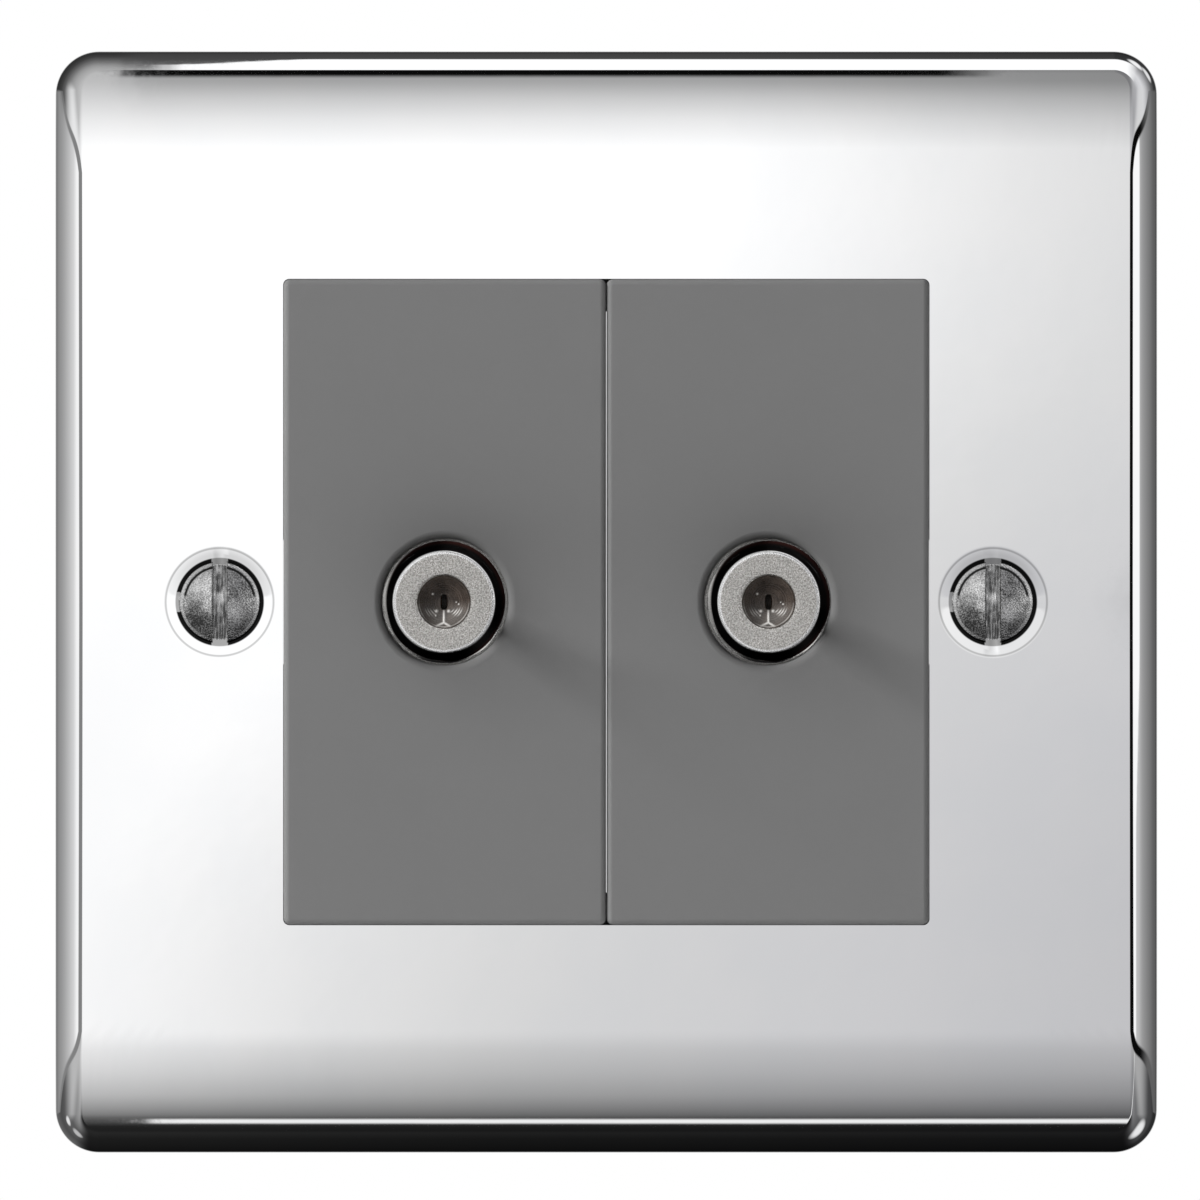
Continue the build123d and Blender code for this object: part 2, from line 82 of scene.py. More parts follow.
# Faceplate, the same values as its solid
plate_half = plate_high.x
plate_corner = 3.4 * MM
plate_sheet = 1.0 * MM
face_roll = 2.2 * MM
crown_radius = 38.0 * MM
crown_start = plate_half - 9.5 * MM
aperture_half = 25.2 * MM
aperture_corner = 0.5 * MM
dimple_radius = 4.0 * MM
dimple_lip = 1.0 * MM
dimple_land = 0.4 * MM
screw_hole_radius = 2.0 * MM
stud_radius = 1.5 * MM
stud_tip = -2.6 * MM
# The lip is finer than the solid's, and hardly shows
aperture_lip = 0.06 * MM
# The share of the dimple's slope that its shading keeps
dimple_lean = 0.09

# Connector, the same values as its solid
barrel_thread_radius = 4.7625 * MM
barrel_nose_radius = 3.9525 * MM
barrel_mouth_radius = 2.05 * MM
barrel_bore_radius = 3.2 * MM
barrel_relief_radius = 4.6025 * MM
barrel_relief_run = 0.4 * MM
barrel_nose_lip = 1.2 * MM
barrel_thread_pitch = 0.794 * MM
barrel_thread_depth = 0.42 * MM
barrel_rim_round = 0.14 * MM
hexagon_across = 11.1 * MM
hexagon_front = -3.5 * MM
hexagon_back = -0.5 * MM
hexagon_corner_cut = 0.35 * MM

# Front insulator: a funnel with a slot for the cable's core
funnel_radius = 0.35 * MM
funnel_curve = 1.6
slot_squareness = 3
funnel_depth = 1.0 * MM
slot_half_width = 0.28 * MM
slot_half_height = 0.6 * MM
slot_well = 2.4 * MM
ring_mark_spacing = 0.16 * MM
ring_mark_height = 0.012 * MM
seam_height = 0.07 * MM
seam_width = 0.085 * MM
# Specks of flash, raised and painted pale as highlights: place across, place up and radius, in mm
seam_specks = (
    (-0.87, 0.62, 0.07), (1.13, -0.17, 0.05), (-0.55, -0.72, 0.12), (0.35, -0.7, 0.12),
    (-0.62, -1.05, 0.07), (-1.95, -0.45, 0.1), (-1.72, -0.95, 0.09), (0.95, -0.02, 0.04),
    (-0.2, 0.55, 0.035),
)
tool_mark_width = 0.045 * MM
# Painted highlights, bright arcs on the mould's turning marks: radius in mm, middle and reach in degrees,
# and brightness
ring_mark_highlights = (
    (1.2, 222, 14, 0.8), (1.38, 218, 16, 0.7), (1.56, 214, 13, 0.6), (1.0, 228, 12, 0.6),
    (1.15, 318, 14, 0.8), (1.32, 322, 16, 0.7), (1.5, 326, 14, 0.6), (0.95, 312, 12, 0.6),
    (1.94, 205, 22, 0.95), (1.94, 318, 34, 0.8), (1.94, 268, 30, 0.95),
)

# Fixing screw, the same values as its solid
fixing_head_radius = 3.2 * MM
fixing_head_band = 0.25 * MM
fixing_head_dome = 0.5 * MM
fixing_slot_half_width = 0.55 * MM
fixing_slot_depth = 1.0 * MM
fixing_neck_radius = 1.55 * MM
fixing_neck_end = -4.9 * MM
fixing_thread_radius = 1.75 * MM
fixing_thread_pitch = 0.6 * MM
fixing_thread_depth = 0.33 * MM
fixing_point = 0.7 * MM
fixing_edge_round = 0.08 * MM

# The painted shadow in the gap round the head: where it ends, and where it is broken
gap_inner_edge = 3.4 * MM
gap_outer_edge = 3.5 * MM
gap_break_half_width = fixing_slot_half_width + 0.07 * MM
gap_break_half_height = 0.75 * MM
gap_break_soft = 0.06 * MM
# Painted highlights and shade on a screw's head and in its slot: place across, place up and radius in mm,
# and the change
head_highlights_and_shade = (
    (-1.3, 1.4, 1.9, 0.5), (-1.7, -1.5, 1.9, -0.36), (-0.9, -0.3, 0.8, 0.4), (1.6, 1.4, 1.7, -0.12),
    (1.2, -0.7, 1.3, 0.5), (1.7, -2.0, 1.0, -0.15), (0.9, -2.5, 0.5, 0.4), (-2.6, 0.2, 0.8, 0.15),
)
slot_highlights_and_shade = (
    (-0.17, 0.35, 0.75, 0.4), (0.2, 0.3, 0.7, 0.4), (0, -1.5, 1.2, -0.08), (0, 2.6, 0.5, 0.3),
)

# Studio
camera_distance = 1.6
camera_aim_y = -5 * MM
frame_side = 93.73 * MM
photo_side = 1200
photo_plate_centre = (606.3, 602.0)
floor_drop = 0.11
floor_reach = 3.0
crown_view = crown_start / camera_distance


# Camera

def make_camera():
    """The photograph's view: straight on, from far enough away that no side of the plate shows."""
    data = bpy.data.cameras.new("photo_camera")
    data.sensor_width = 36.0
    data.lens = data.sensor_width * camera_distance / frame_side
    data.shift_x = (photo_side / 2 - photo_plate_centre[0]) / photo_side
    data.shift_y = (photo_plate_centre[1] - photo_side / 2) / photo_side
    data.clip_start = 0.05
    data.clip_end = 20.0
    camera = bpy.data.objects.new("photo_camera", data)
    camera.location = (0, camera_aim_y - camera_distance, 0)
    camera.rotation_euler = (math.pi / 2, 0, 0)
    bpy.context.scene.collection.objects.link(camera)
    bpy.context.scene.camera = camera


make_camera()


# Node helpers

def feed(tree, place, value):
    """Links a socket to an input, or sets the input to a plain value."""
    if isinstance(value, bpy.types.NodeSocket):
        tree.links.new(value, place)
    else:
        place.default_value = value


def calc(tree, operation, *terms, clamp=False):
    """The result of a Math node on sockets or numbers."""
    made = tree.nodes.new("ShaderNodeMath")
    made.operation = operation
    made.use_clamp = clamp
    for place, term in zip(made.inputs, terms):
        feed(tree, place, term)
    return made.outputs[0]


def ease(tree, value, low, high, to_low=0.0, to_high=1.0):
    """A smooth step from to_low at low to to_high at high."""
    made = tree.nodes.new("ShaderNodeMapRange")
    made.interpolation_type = "SMOOTHSTEP"
    for name, term in (
        ("Value", value),
        ("From Min", low),
        ("From Max", high),
        ("To Min", to_low),
        ("To Max", to_high),
    ):
        feed(tree, made.inputs[name], term)
    return made.outputs["Result"]


def hump(tree, value, start, top, fall, end):
    """A mask that rises between start and top and falls between fall and end."""
    return calc(tree, "MULTIPLY", ease(tree, value, start, top), ease(tree, value, end, fall))


def grey(value):
    """A neutral colour."""
    return (value, value, value, 1.0)


def mix(tree, amount, first, second, blend="MIX"):
    """The colour between first and second, which are sockets or colours."""
    made = tree.nodes.new("ShaderNodeMix")
    made.data_type = "RGBA"
    made.blend_type = blend
    feed(tree, made.inputs[0], amount)
    feed(tree, made.inputs[6], first)
    feed(tree, made.inputs[7], second)
    return made.outputs[2]


def ramp(tree, amount, stops):
    """A colour ramp through (place, grey value or colour) stops."""
    made = tree.nodes.new("ShaderNodeValToRGB")
    elements = made.color_ramp.elements
    while len(elements) < len(stops):
        elements.new(0.5)
    for element, (place, value) in zip(elements, stops):
        element.position = place
        element.color = value if isinstance(value, tuple) else grey(value)
    feed(tree, made.inputs["Fac"], amount)
    return made.outputs["Color"]


def noise(tree, vector, size, detail=2.0, roughness=0.5, stretch=None):
    """Noise whose blobs are about this size in metres. Stretch gives a size for each axis."""
    if stretch is not None:
        mapping = tree.nodes.new("ShaderNodeMapping")
        mapping.inputs["Scale"].default_value = [1 / s for s in stretch]
        feed(tree, mapping.inputs["Vector"], vector)
        vector = mapping.outputs["Vector"]
    made = tree.nodes.new("ShaderNodeTexNoise")
    feed(tree, made.inputs["Vector"], vector)
    scale = 1.0 if stretch is not None else (
        calc(tree, "DIVIDE", 1.0, size) if isinstance(size, bpy.types.NodeSocket) else 1 / size
    )
    feed(tree, made.inputs["Scale"], scale)
    made.inputs["Detail"].default_value = detail
    made.inputs["Roughness"].default_value = roughness
    return made.outputs["Fac"]


def place_on_object(tree):
    """Where a point is on the outlet, in metres."""
    return tree.nodes.new("ShaderNodeTexCoord").outputs["Object"]


def bump(tree, height, distance, strength=1.0):
    """A normal that follows a height of 0 to 1 times distance."""
    made = tree.nodes.new("ShaderNodeBump")
    made.inputs["Strength"].default_value = strength
    made.inputs["Distance"].default_value = distance
    feed(tree, made.inputs["Height"], height)
    return made.outputs["Normal"]


def new_group(name, inputs, outputs):
    """An empty shader node group with named number inputs and outputs."""
    group = bpy.data.node_groups.new(name, "ShaderNodeTree")
    for label, value in inputs:
        made = group.interface.new_socket(label, in_out="INPUT", socket_type="NodeSocketFloat")
        made.default_value = value
    for label in outputs:
        group.interface.new_socket(label, in_out="OUTPUT", socket_type="NodeSocketFloat")
    start = group.nodes.new("NodeGroupInput")
    end = group.nodes.new("NodeGroupOutput")
    return group, start.outputs, end.inputs


def use_group(tree, group, **values):
    """A group placed in a material with its own values, and its outputs."""
    made = tree.nodes.new("ShaderNodeGroup")
    made.node_tree = group
    for label, value in values.items():
        feed(tree, made.inputs[label.replace("_", " ")], value)
    return made.outputs


# Effects that several finishes share

def turned_marks_group():
    """Marks of a cutting tool: fine rings about an axis along Y, at Axis X either side of the middle."""
    group, start, end = new_group(
        "turned marks",
        [("Axis X", 0.0126), ("Ring Width", 0.0001)],
        ["Rings", "Radius"],
    )
    parts = group.nodes.new("ShaderNodeSeparateXYZ")
    feed(group, parts.inputs[0], place_on_object(group))
    across = calc(group, "SUBTRACT", calc(group, "ABSOLUTE", parts.outputs["X"]), start["Axis X"])
    squares = calc(
        group,
        "ADD",
        calc(group, "MULTIPLY", across, across),
        calc(group, "MULTIPLY", parts.outputs["Z"], parts.outputs["Z"]),
    )
    radius = calc(group, "SQRT", squares)
    rings = group.nodes.new("ShaderNodeTexNoise")
    rings.noise_dimensions = "1D"
    rings.inputs["Detail"].default_value = 3.0
    rings.inputs["Scale"].default_value = 1.0
    feed(group, rings.inputs["W"], calc(group, "DIVIDE", radius, start["Ring Width"]))
    feed(group, end["Rings"], rings.outputs["Fac"])
    feed(group, end["Radius"], radius)
    return group


def moulded_grain_group():
    """The fine spark-eroded texture of a mould: pits of one size and a slower change of tone."""
    group, start, end = new_group(
        "moulded grain", [("Grain Size", 0.0002)], ["Height", "Tone"]
    )
    place = place_on_object(group)
    pits = noise(group, place, start["Grain Size"], detail=1.5, roughness=0.6)
    feed(group, end["Height"], ease(group, pits, 0.3, 0.7))
    feed(group, end["Tone"], noise(group, place, 6 * MM, detail=2.0))
    return group


def mottle_group():
    """Uneven plating: soft patches, and a fine grain over them."""
    group, start, end = new_group(
        "plating mottle", [("Patch Size", 0.001), ("Grain Size", 0.0001)], ["Patches", "Grain"]
    )
    place = place_on_object(group)
    patches = noise(group, place, start["Patch Size"], detail=3.0, roughness=0.55)
    feed(group, end["Patches"], ease(group, patches, 0.3, 0.7))
    feed(group, end["Grain"], noise(group, place, start["Grain Size"], detail=2.0, roughness=0.7))
    return group


def fixing_places_group():
    """Places about the nearer fixing screw: the distance to its axis, how far across, and a mask that
    is 1 where the painted shadow in the gap round its head is broken, at the slot's ends and at its left."""
    group, start, end = new_group(
        "fixing places", [("Axis X", 0.03), ("Slot Half", 0.0006)], ["Radius", "Across", "Up", "Break"]
    )
    parts = group.nodes.new("ShaderNodeSeparateXYZ")
    feed(group, parts.inputs[0], place_on_object(group))
    x, _, z = parts.outputs
    axis = calc(group, "MULTIPLY", calc(group, "SIGN", x), start["Axis X"])
    across = calc(group, "SUBTRACT", x, axis)
    squares = calc(group, "ADD", calc(group, "MULTIPLY", across, across), calc(group, "MULTIPLY", z, z))
    feed(group, end["Radius"], calc(group, "SQRT", squares))
    feed(group, end["Across"], across)
    feed(group, end["Up"], z)
    off_slot = calc(group, "SUBTRACT", calc(group, "ABSOLUTE", across), start["Slot Half"])
    off_level = calc(group, "SUBTRACT", calc(group, "ABSOLUTE", z), gap_break_half_height)
    off_left = calc(group, "MAXIMUM", across, off_level)
    near = calc(group, "MINIMUM", off_slot, off_left)
    feed(group, end["Break"], ease(group, near, gap_break_soft, -gap_break_soft))
    return group


turned_marks = turned_marks_group()
fixing_places = fixing_places_group()
moulded_grain = moulded_grain_group()
mottle = mottle_group()


# Finishes, one for each material slot of the record

def new_finish(name):
    """A material with its Principled shader, for one slot."""
    material = bpy.data.materials.new(name)
    material.use_nodes = True
    tree = material.node_tree
    shader = tree.nodes["Principled BSDF"]
    return material, tree, shader.inputs


def polished_chrome():
    """Mirror plating on pressed steel, with a trace of polishing haze and a faint waviness. Each
    dimple has a painted grey shade line on its lip, and painted shadow in the gap round the screw's
    head, with a painted mid grey where the gap is broken."""
    material, tree, into = new_finish("polished_chrome")
    marks = use_group(tree, mottle, Patch_Size=9 * MM, Grain_Size=0.35 * MM)
    into["Metallic"].default_value = 1.0
    plating = mix(tree, marks["Patches"], (0.925, 0.93, 0.94, 1), (0.945, 0.945, 0.95, 1))
    places = use_group(tree, fixing_places, Axis_X=fixing_x, Slot_Half=gap_break_half_width)
    radius = places["Radius"]
    # Painted shadow in the gap round each screw's head, near black, and a painted mid grey where the gap
    # is broken
    in_gap = ease(tree, radius, gap_outer_edge, gap_inner_edge)
    dark = calc(tree, "MULTIPLY", in_gap, calc(tree, "SUBTRACT", 1.0, places["Break"]))
    broken = calc(tree, "MULTIPLY", in_gap, places["Break"])
    # A painted grey shade line on each dimple's lip; pressed is the plating with that painted line
    lip = hump(tree, radius, 4.08 * MM, 4.18 * MM, 4.22 * MM, 4.34 * MM)
    pressed = mix(tree, calc(tree, "MULTIPLY", lip, 0.5), plating, grey(0.2))
    pressed = mix(tree, broken, pressed, grey(0.38))
    feed(tree, into["Base Color"], mix(tree, dark, pressed, grey(0.008)))
    feed(tree, into["Roughness"], ease(tree, marks["Grain"], 0.35, 0.75, 0.012, 0.022))
    feed(tree, into["Normal"], bump(tree, marks["Patches"], 0.002 * MM, 0.25))
    return material


def screw_nickel():
    """Bright nickel, unevenly plated, with a fine hatch and streaks along the slot. On it lie painted
    highlights and shade in soft patches over the head, painted shade in the slot, a painted highlight
    line inside the rim, a painted shade arc above and painted shadow on the rim."""
    material, tree, into = new_finish("screw_nickel")
    marks = use_group(tree, mottle, Patch_Size=0.5 * MM, Grain_Size=0.11 * MM)
    places = use_group(tree, fixing_places, Axis_X=fixing_x, Slot_Half=gap_break_half_width)
    across, up, radius = places["Across"], places["Up"], places["Radius"]
    on_head = tree.nodes.new("ShaderNodeCombineXYZ")
    feed(tree, on_head.inputs["X"], across)
    feed(tree, on_head.inputs["Z"], up)
    slot_soft = 0.03 * MM
    in_slot = ease(
        tree,
        calc(tree, "ABSOLUTE", across),
        fixing_slot_half_width + slot_soft,
        fixing_slot_half_width - slot_soft,
    )

    def with_patch(tone, mask, x, z, size, amount):
        """A tone with an amount added to it in a soft round patch."""
        away = tree.nodes.new("ShaderNodeVectorMath")
        away.operation = "DISTANCE"
        feed(tree, away.inputs[0], on_head.outputs[0])
        away.inputs[1].default_value = (x * MM, 0, z * MM)
        near = ease(tree, away.outputs["Value"], size * MM, 0.0, 0.0, amount)
        return calc(tree, "ADD", tone, calc(tree, "MULTIPLY", near, mask))

    off_slot = calc(tree, "SUBTRACT", 1.0, in_slot)
    # Painted shade: the slot starts darker than the head, and the patches below add painted highlights
    # and shade
    tone = ease(tree, in_slot, 0, 1, 0.4, 0.2)
    for patch in head_highlights_and_shade:
        tone = with_patch(tone, off_slot, *patch)
    for patch in slot_highlights_and_shade:
        tone = with_patch(tone, in_slot, *patch)
    streaks = noise(tree, on_head.outputs[0], None, 2.0, 0.6, (0.16 * MM, 1.0, 2.2 * MM))
    hatch = noise(tree, on_head.outputs[0], None, 1.0, 0.5, (0.13 * MM, 1.0, 0.13 * MM))
    texture = mix(tree, in_slot, hatch, streaks)
    speckle = ease(tree, texture, 0.3, 0.7, -0.26, 0.26)
    blur = ease(tree, marks["Patches"], 0, 1, -0.12, 0.12)
    tone = calc(tree, "ADD", tone, calc(tree, "ADD", speckle, blur), clamp=True)
    # A painted shade arc on the head's upper side, inside the rim
    arc = hump(tree, radius, 2.6 * MM, 2.68 * MM, 2.78 * MM, 2.86 * MM)
    on_top = ease(tree, up, 0.2 * MM, 0.6 * MM)
    arc = calc(tree, "MULTIPLY", calc(tree, "MULTIPLY", arc, off_slot), on_top)
    # A painted highlight line just inside the head's rim
    bright = hump(tree, radius, 2.84 * MM, 2.94 * MM, 3.04 * MM, 3.14 * MM)
    unbroken = calc(tree, "SUBTRACT", 1.0, places["Break"])
    # Painted shadow on the head's outer edge, joining the painted dark gap round it
    rim = calc(tree, "MULTIPLY", ease(tree, radius, 3.06 * MM, 3.12 * MM), unbroken)
    shade = mix(tree, tone, grey(0.1), grey(1.0))
    shade = mix(tree, arc, shade, grey(0.03))
    shade = mix(tree, calc(tree, "MULTIPLY", bright, 0.7), shade, grey(0.95))
    into["Metallic"].default_value = 1.0
    feed(tree, into["Base Color"], mix(tree, rim, shade, grey(0.012)))
    feed(tree, into["Roughness"], ease(tree, marks["Patches"], 0.0, 1.0, 0.26, 0.12))
    feed(tree, into["Normal"], bump(tree, texture, 0.04 * MM, 0.5))
    return material


def grey_moulding():
    """Mid grey plastic with a fine spark-eroded surface."""
    material, tree, into = new_finish("grey_moulding")
    grain = use_group(tree, moulded_grain, Grain_Size=0.13 * MM)
    feed(tree, into["Base Color"], mix(tree, grain["Tone"], grey(0.164), grey(0.174)))
    feed(tree, into["Roughness"], ease(tree, grain["Tone"], 0.2, 0.8, 0.46, 0.54))
    feed(tree, into["Normal"], bump(tree, grain["Height"], 0.006 * MM, 0.35))
    return material


def frame_moulding():
    """Black plastic, glossier than the modules, with flow marks."""
    material, tree, into = new_finish("frame_moulding")
    grain = use_group(tree, moulded_grain, Grain_Size=0.3 * MM)
    feed(tree, into["Base Color"], mix(tree, grain["Tone"], grey(0.038), (0.056, 0.056, 0.06, 1)))
    feed(tree, into["Roughness"], ease(tree, grain["Tone"], 0.2, 0.8, 0.34, 0.5))
    feed(tree, into["Normal"], bump(tree, grain["Height"], 0.012 * MM, 0.4))
    return material


def connector_nickel():
    """Satin nickel on turned brass: a grainy end face with a polished edge whose colour is lifted to
    white as a painted highlight, a chamfer painted black as shade that is faintly red towards the
    thread, and a thread with painted shade in its root."""
    material, tree, into = new_finish("connector_nickel")
    marks = use_group(tree, mottle, Patch_Size=0.5 * MM, Grain_Size=0.13 * MM)
    lathe = use_group(tree, turned_marks, Axis_X=connector_x, Ring_Width=0.07 * MM)
    radius = lathe["Radius"]
    parts = tree.nodes.new("ShaderNodeSeparateXYZ")
    feed(tree, parts.inputs[0], place_on_object(tree))
    into["Metallic"].default_value = 1.0
    grain = ease(tree, marks["Grain"], 0.36, 0.64)
    satin = mix(tree, grain, (0.46, 0.44, 0.415, 1), (1.0, 0.985, 0.95, 1))
    satin = mix(tree, ease(tree, marks["Patches"], 0, 1, 0.0, 0.2), satin, (0.7, 0.67, 0.64, 1))
    # The end face's edge is polished, so smoother, and its colour is lifted to white as a painted
    # highlight
    polished = ease(tree, radius, barrel_nose_radius - 0.28 * MM, barrel_nose_radius - 0.2 * MM)
    satin = mix(tree, polished, satin, grey(1.0))
    # Painted shade in the thread's root
    root_radius = barrel_thread_radius - barrel_thread_depth
    root = ease(tree, radius, barrel_thread_radius - 0.05 * MM, root_radius)
    thread = mix(tree, calc(tree, "MULTIPLY", root, 0.75), (0.74, 0.73, 0.71, 1), (0.16, 0.15, 0.14, 1))
    on_thread = ease(tree, radius, barrel_nose_radius - 0.02 * MM, barrel_nose_radius + 0.05 * MM)
    # The chamfer is painted near black as shade, faintly red towards the thread
    outwards = ease(tree, radius, 4.4 * MM, 4.7 * MM)
    black = mix(tree, outwards, (0.005, 0.0045, 0.0045, 1), (0.022, 0.008, 0.007, 1))
    chamfer_end = barrel_low.y + barrel_thread_radius - barrel_nose_radius
    on_chamfer = ease(tree, parts.outputs["Y"], chamfer_end + 0.12 * MM, chamfer_end + 0.02 * MM)
    thread_and_chamfer_shade = mix(tree, on_chamfer, thread, black)
    feed(tree, into["Base Color"], mix(tree, on_thread, satin, thread_and_chamfer_shade))
    dull = ease(tree, marks["Patches"], 0.0, 1.0, 0.34, 0.25)
    feed(tree, into["Roughness"], mix(tree, polished, dull, grey(0.08)))
    relief = calc(tree, "ADD", marks["Grain"], calc(tree, "MULTIPLY", lathe["Rings"], 0.3))
    feed(tree, into["Normal"], bump(tree, relief, 0.03 * MM, 0.5))
    return material


def brown_insulator():
    """Dark brown plastic with the mould's ring marks, and painted highlights on the seam, the specks
    and the arcs, with a faint painted light towards the bottom.
    """
    material, tree, into = new_finish("brown_insulator")
    lathe = use_group(tree, turned_marks, Axis_X=connector_x, Ring_Width=0.09 * MM)
    marks = use_group(tree, mottle, Patch_Size=0.7 * MM, Grain_Size=0.1 * MM)
    tone = mix(tree, marks["Patches"], (0.016, 0.01, 0.007, 1), (0.05, 0.036, 0.028, 1))
    rings = ease(tree, lathe["Rings"], 0.42, 0.62)
    tone = mix(tree, calc(tree, "MULTIPLY", rings, 0.35), tone, (0.12, 0.1, 0.085, 1))
    # The seam attribute carries painted highlights on the seam, the specks and the arcs, and a faint
    # painted light towards the bottom
    seam = tree.nodes.new("ShaderNodeAttribute")
    seam.attribute_name = "seam"
    feed(tree, into["Base Color"], mix(tree, seam.outputs["Fac"], tone, (0.92, 0.9, 0.87, 1)))
    feed(tree, into["Roughness"], ease(tree, marks["Grain"], 0.3, 0.7, 0.2, 0.38))
    feed(tree, into["Normal"], bump(tree, lathe["Rings"], 0.05 * MM, 0.8))
    return material


def contact_bronze():
    """Rolled spring bronze with drawing lines along the strip."""
    material, tree, into = new_finish("contact_bronze")
    lines = noise(tree, place_on_object(tree), None, 2.0, 0.6, (0.05 * MM, 3 * MM, 0.05 * MM))
    into["Metallic"].default_value = 1.0
    feed(tree, into["Base Color"], mix(tree, lines, (0.6, 0.38, 0.19, 1), (0.82, 0.6, 0.36, 1)))
    feed(tree, into["Roughness"], ease(tree, lines, 0.3, 0.7, 0.22, 0.36))
    feed(tree, into["Normal"], bump(tree, lines, 0.01 * MM, 0.4))
    return material


def zinc_plate():
    """Bright zinc with its crystal patches and a fine drawn grain."""
    material, tree, into = new_finish("zinc_plate")
    place = place_on_object(tree)
    marks = use_group(tree, mottle, Patch_Size=2.5 * MM, Grain_Size=0.09 * MM)
    crystals = tree.nodes.new("ShaderNodeTexVoronoi")
    crystals.inputs["Scale"].default_value = 1 / (0.9 * MM)
    feed(tree, crystals.inputs["Vector"], place)
    patches = calc(tree, "MULTIPLY", marks["Patches"], 0.5)
    spangle = calc(tree, "MULTIPLY_ADD", crystals.outputs["Color"], 0.5, patches)
    into["Metallic"].default_value = 1.0
    feed(tree, into["Base Color"], mix(tree, spangle, (0.52, 0.54, 0.56, 1), (0.72, 0.72, 0.68, 1)))
    feed(tree, into["Roughness"], ease(tree, spangle, 0.1, 0.9, 0.28, 0.42))
    feed(tree, into["Normal"], bump(tree, marks["Grain"], 0.015 * MM, 0.4))
    return material


def spring_steel():
    """Phosphated spring steel: dark, with a dull grain."""
    material, tree, into = new_finish("spring_steel")
    marks = use_group(tree, mottle, Patch_Size=0.8 * MM, Grain_Size=0.08 * MM)
    into["Metallic"].default_value = 1.0
    phosphate = mix(tree, marks["Patches"], (0.2, 0.205, 0.22, 1), (0.38, 0.385, 0.4, 1))
    feed(tree, into["Base Color"], phosphate)
    feed(tree, into["Roughness"], ease(tree, marks["Grain"], 0.3, 0.7, 0.35, 0.52))
    feed(tree, into["Normal"], bump(tree, marks["Grain"], 0.02 * MM, 0.4))
    return material


def terminal_brass():
    """Machined brass: sawn lines along the bar and slightly tarnished patches."""
    material, tree, into = new_finish("terminal_brass")
    marks = use_group(tree, mottle, Patch_Size=2 * MM, Grain_Size=0.1 * MM)
    lines = noise(tree, place_on_object(tree), None, 2.0, 0.6, (4 * MM, 0.07 * MM, 0.07 * MM))
    into["Metallic"].default_value = 1.0
    bright = mix(tree, lines, (0.72, 0.52, 0.22, 1), (0.88, 0.7, 0.38, 1))
    tarnish = calc(tree, "MULTIPLY", marks["Patches"], 0.4)
    feed(tree, into["Base Color"], mix(tree, tarnish, bright, (0.5, 0.34, 0.15, 1)))
    feed(tree, into["Roughness"], ease(tree, marks["Patches"], 0.0, 1.0, 0.24, 0.38))
    feed(tree, into["Normal"], bump(tree, lines, 0.012 * MM, 0.4))
    return material


finishes = {
    "polished_chrome": polished_chrome(),
    "screw_nickel": screw_nickel(),
    "grey_moulding": grey_moulding(),
    "frame_moulding": frame_moulding(),
    "connector_nickel": connector_nickel(),
    "brown_insulator": brown_insulator(),
    "contact_bronze": contact_bronze(),
    "zinc_plate": zinc_plate(),
    "spring_steel": spring_steel(),
    "terminal_brass": terminal_brass(),
}

NODE_FINISH = {
    "faceplate": "polished_chrome",
    "fixing_screw": "screw_nickel",
    "module_housing": "grey_moulding",
    "support_frame": "frame_moulding",
    "connector_barrel": "connector_nickel",
    "hex_nut": "connector_nickel",
    "front_insulator": "brown_insulator",
    "rear_insulator": "brown_insulator",
    "centre_contact": "contact_bronze",
    "clamp_plate": "zinc_plate",
    "lock_washer": "zinc_plate",
    "clamp_screw": "zinc_plate",
    "earth_bracket": "zinc_plate",
    "retainer": "spring_steel",
    "earth_block": "terminal_brass",
    "earth_screw": "terminal_brass",
}


def finish_of(name):
    """The slot of a CAD node, from the start of its name."""
    return next(slot for start, slot in NODE_FINISH.items() if name.startswith(start))


for name, node in nodes.items():
    node.data.materials.clear()
    node.data.materials.append(finishes[finish_of(name)])


# Surfaces

def shell(points, loop=False):
    """A closed surface over a grid of points (rows, columns, 3) whose columns run all the way round.
    Its rows either run round too, or each end row is closed to its middle point.
    It is turned to face outwards by the sign of the volume that its triangles enclose."""
    rows, columns = points.shape[:2]
    index = np.arange(rows * columns).reshape(rows, columns)
    upper = index if loop else index[:-1]
    lower = np.roll(index, -1, 0) if loop else index[1:]
    corners = (upper, lower, np.roll(lower, -1, 1), np.roll(upper, -1, 1))
    quads = np.stack(corners, -1).reshape(-1, 4)
    vertices = points.reshape(-1, 3)
    caps = np.zeros((0, 3), int)
    if not loop:
        first, last = rows * columns, rows * columns + 1
        vertices = np.vstack([vertices, points[0].mean(0), points[-1].mean(0)])
        start = np.stack([index[0], np.roll(index[0], -1), np.full(columns, first)], -1)
        end = np.stack([np.roll(index[-1], -1), index[-1], np.full(columns, last)], -1)
        caps = np.vstack([start, end])
    triangles = np.vstack([quads[:, [0, 1, 2]], quads[:, [0, 2, 3]], caps])
    a, b, c = (vertices[triangles[:, k]] for k in range(3))
    if np.einsum("ij,ij->", a, np.cross(b, c)) < 0:
        quads, caps = quads[:, ::-1], caps[:, ::-1]
    return vertices, quads, caps


def make_piece(name, shells, node, sharp_angle=35):
    """One object of several shells, in place of a CAD node, with that node's body, slot and finish."""
    vertices, faces, before = [], [], 0
    for part, quads, caps in shells:
        vertices.append(part)
        faces += (quads + before).tolist() + (caps + before).tolist()
        before += len(part)
    mesh = bpy.data.meshes.new(name)
    mesh.from_pydata(np.vstack(vertices).tolist(), [], faces)
    mesh.shade_smooth()
    mesh.set_sharp_from_angle(angle=math.radians(sharp_angle))
    made = bpy.data.objects.new(name, mesh)
    bpy.context.scene.collection.objects.link(made)
    mesh.materials.append(finishes[finish_of(node)])
    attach(made, nodes[node]["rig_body"])
    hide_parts(node)
    return made


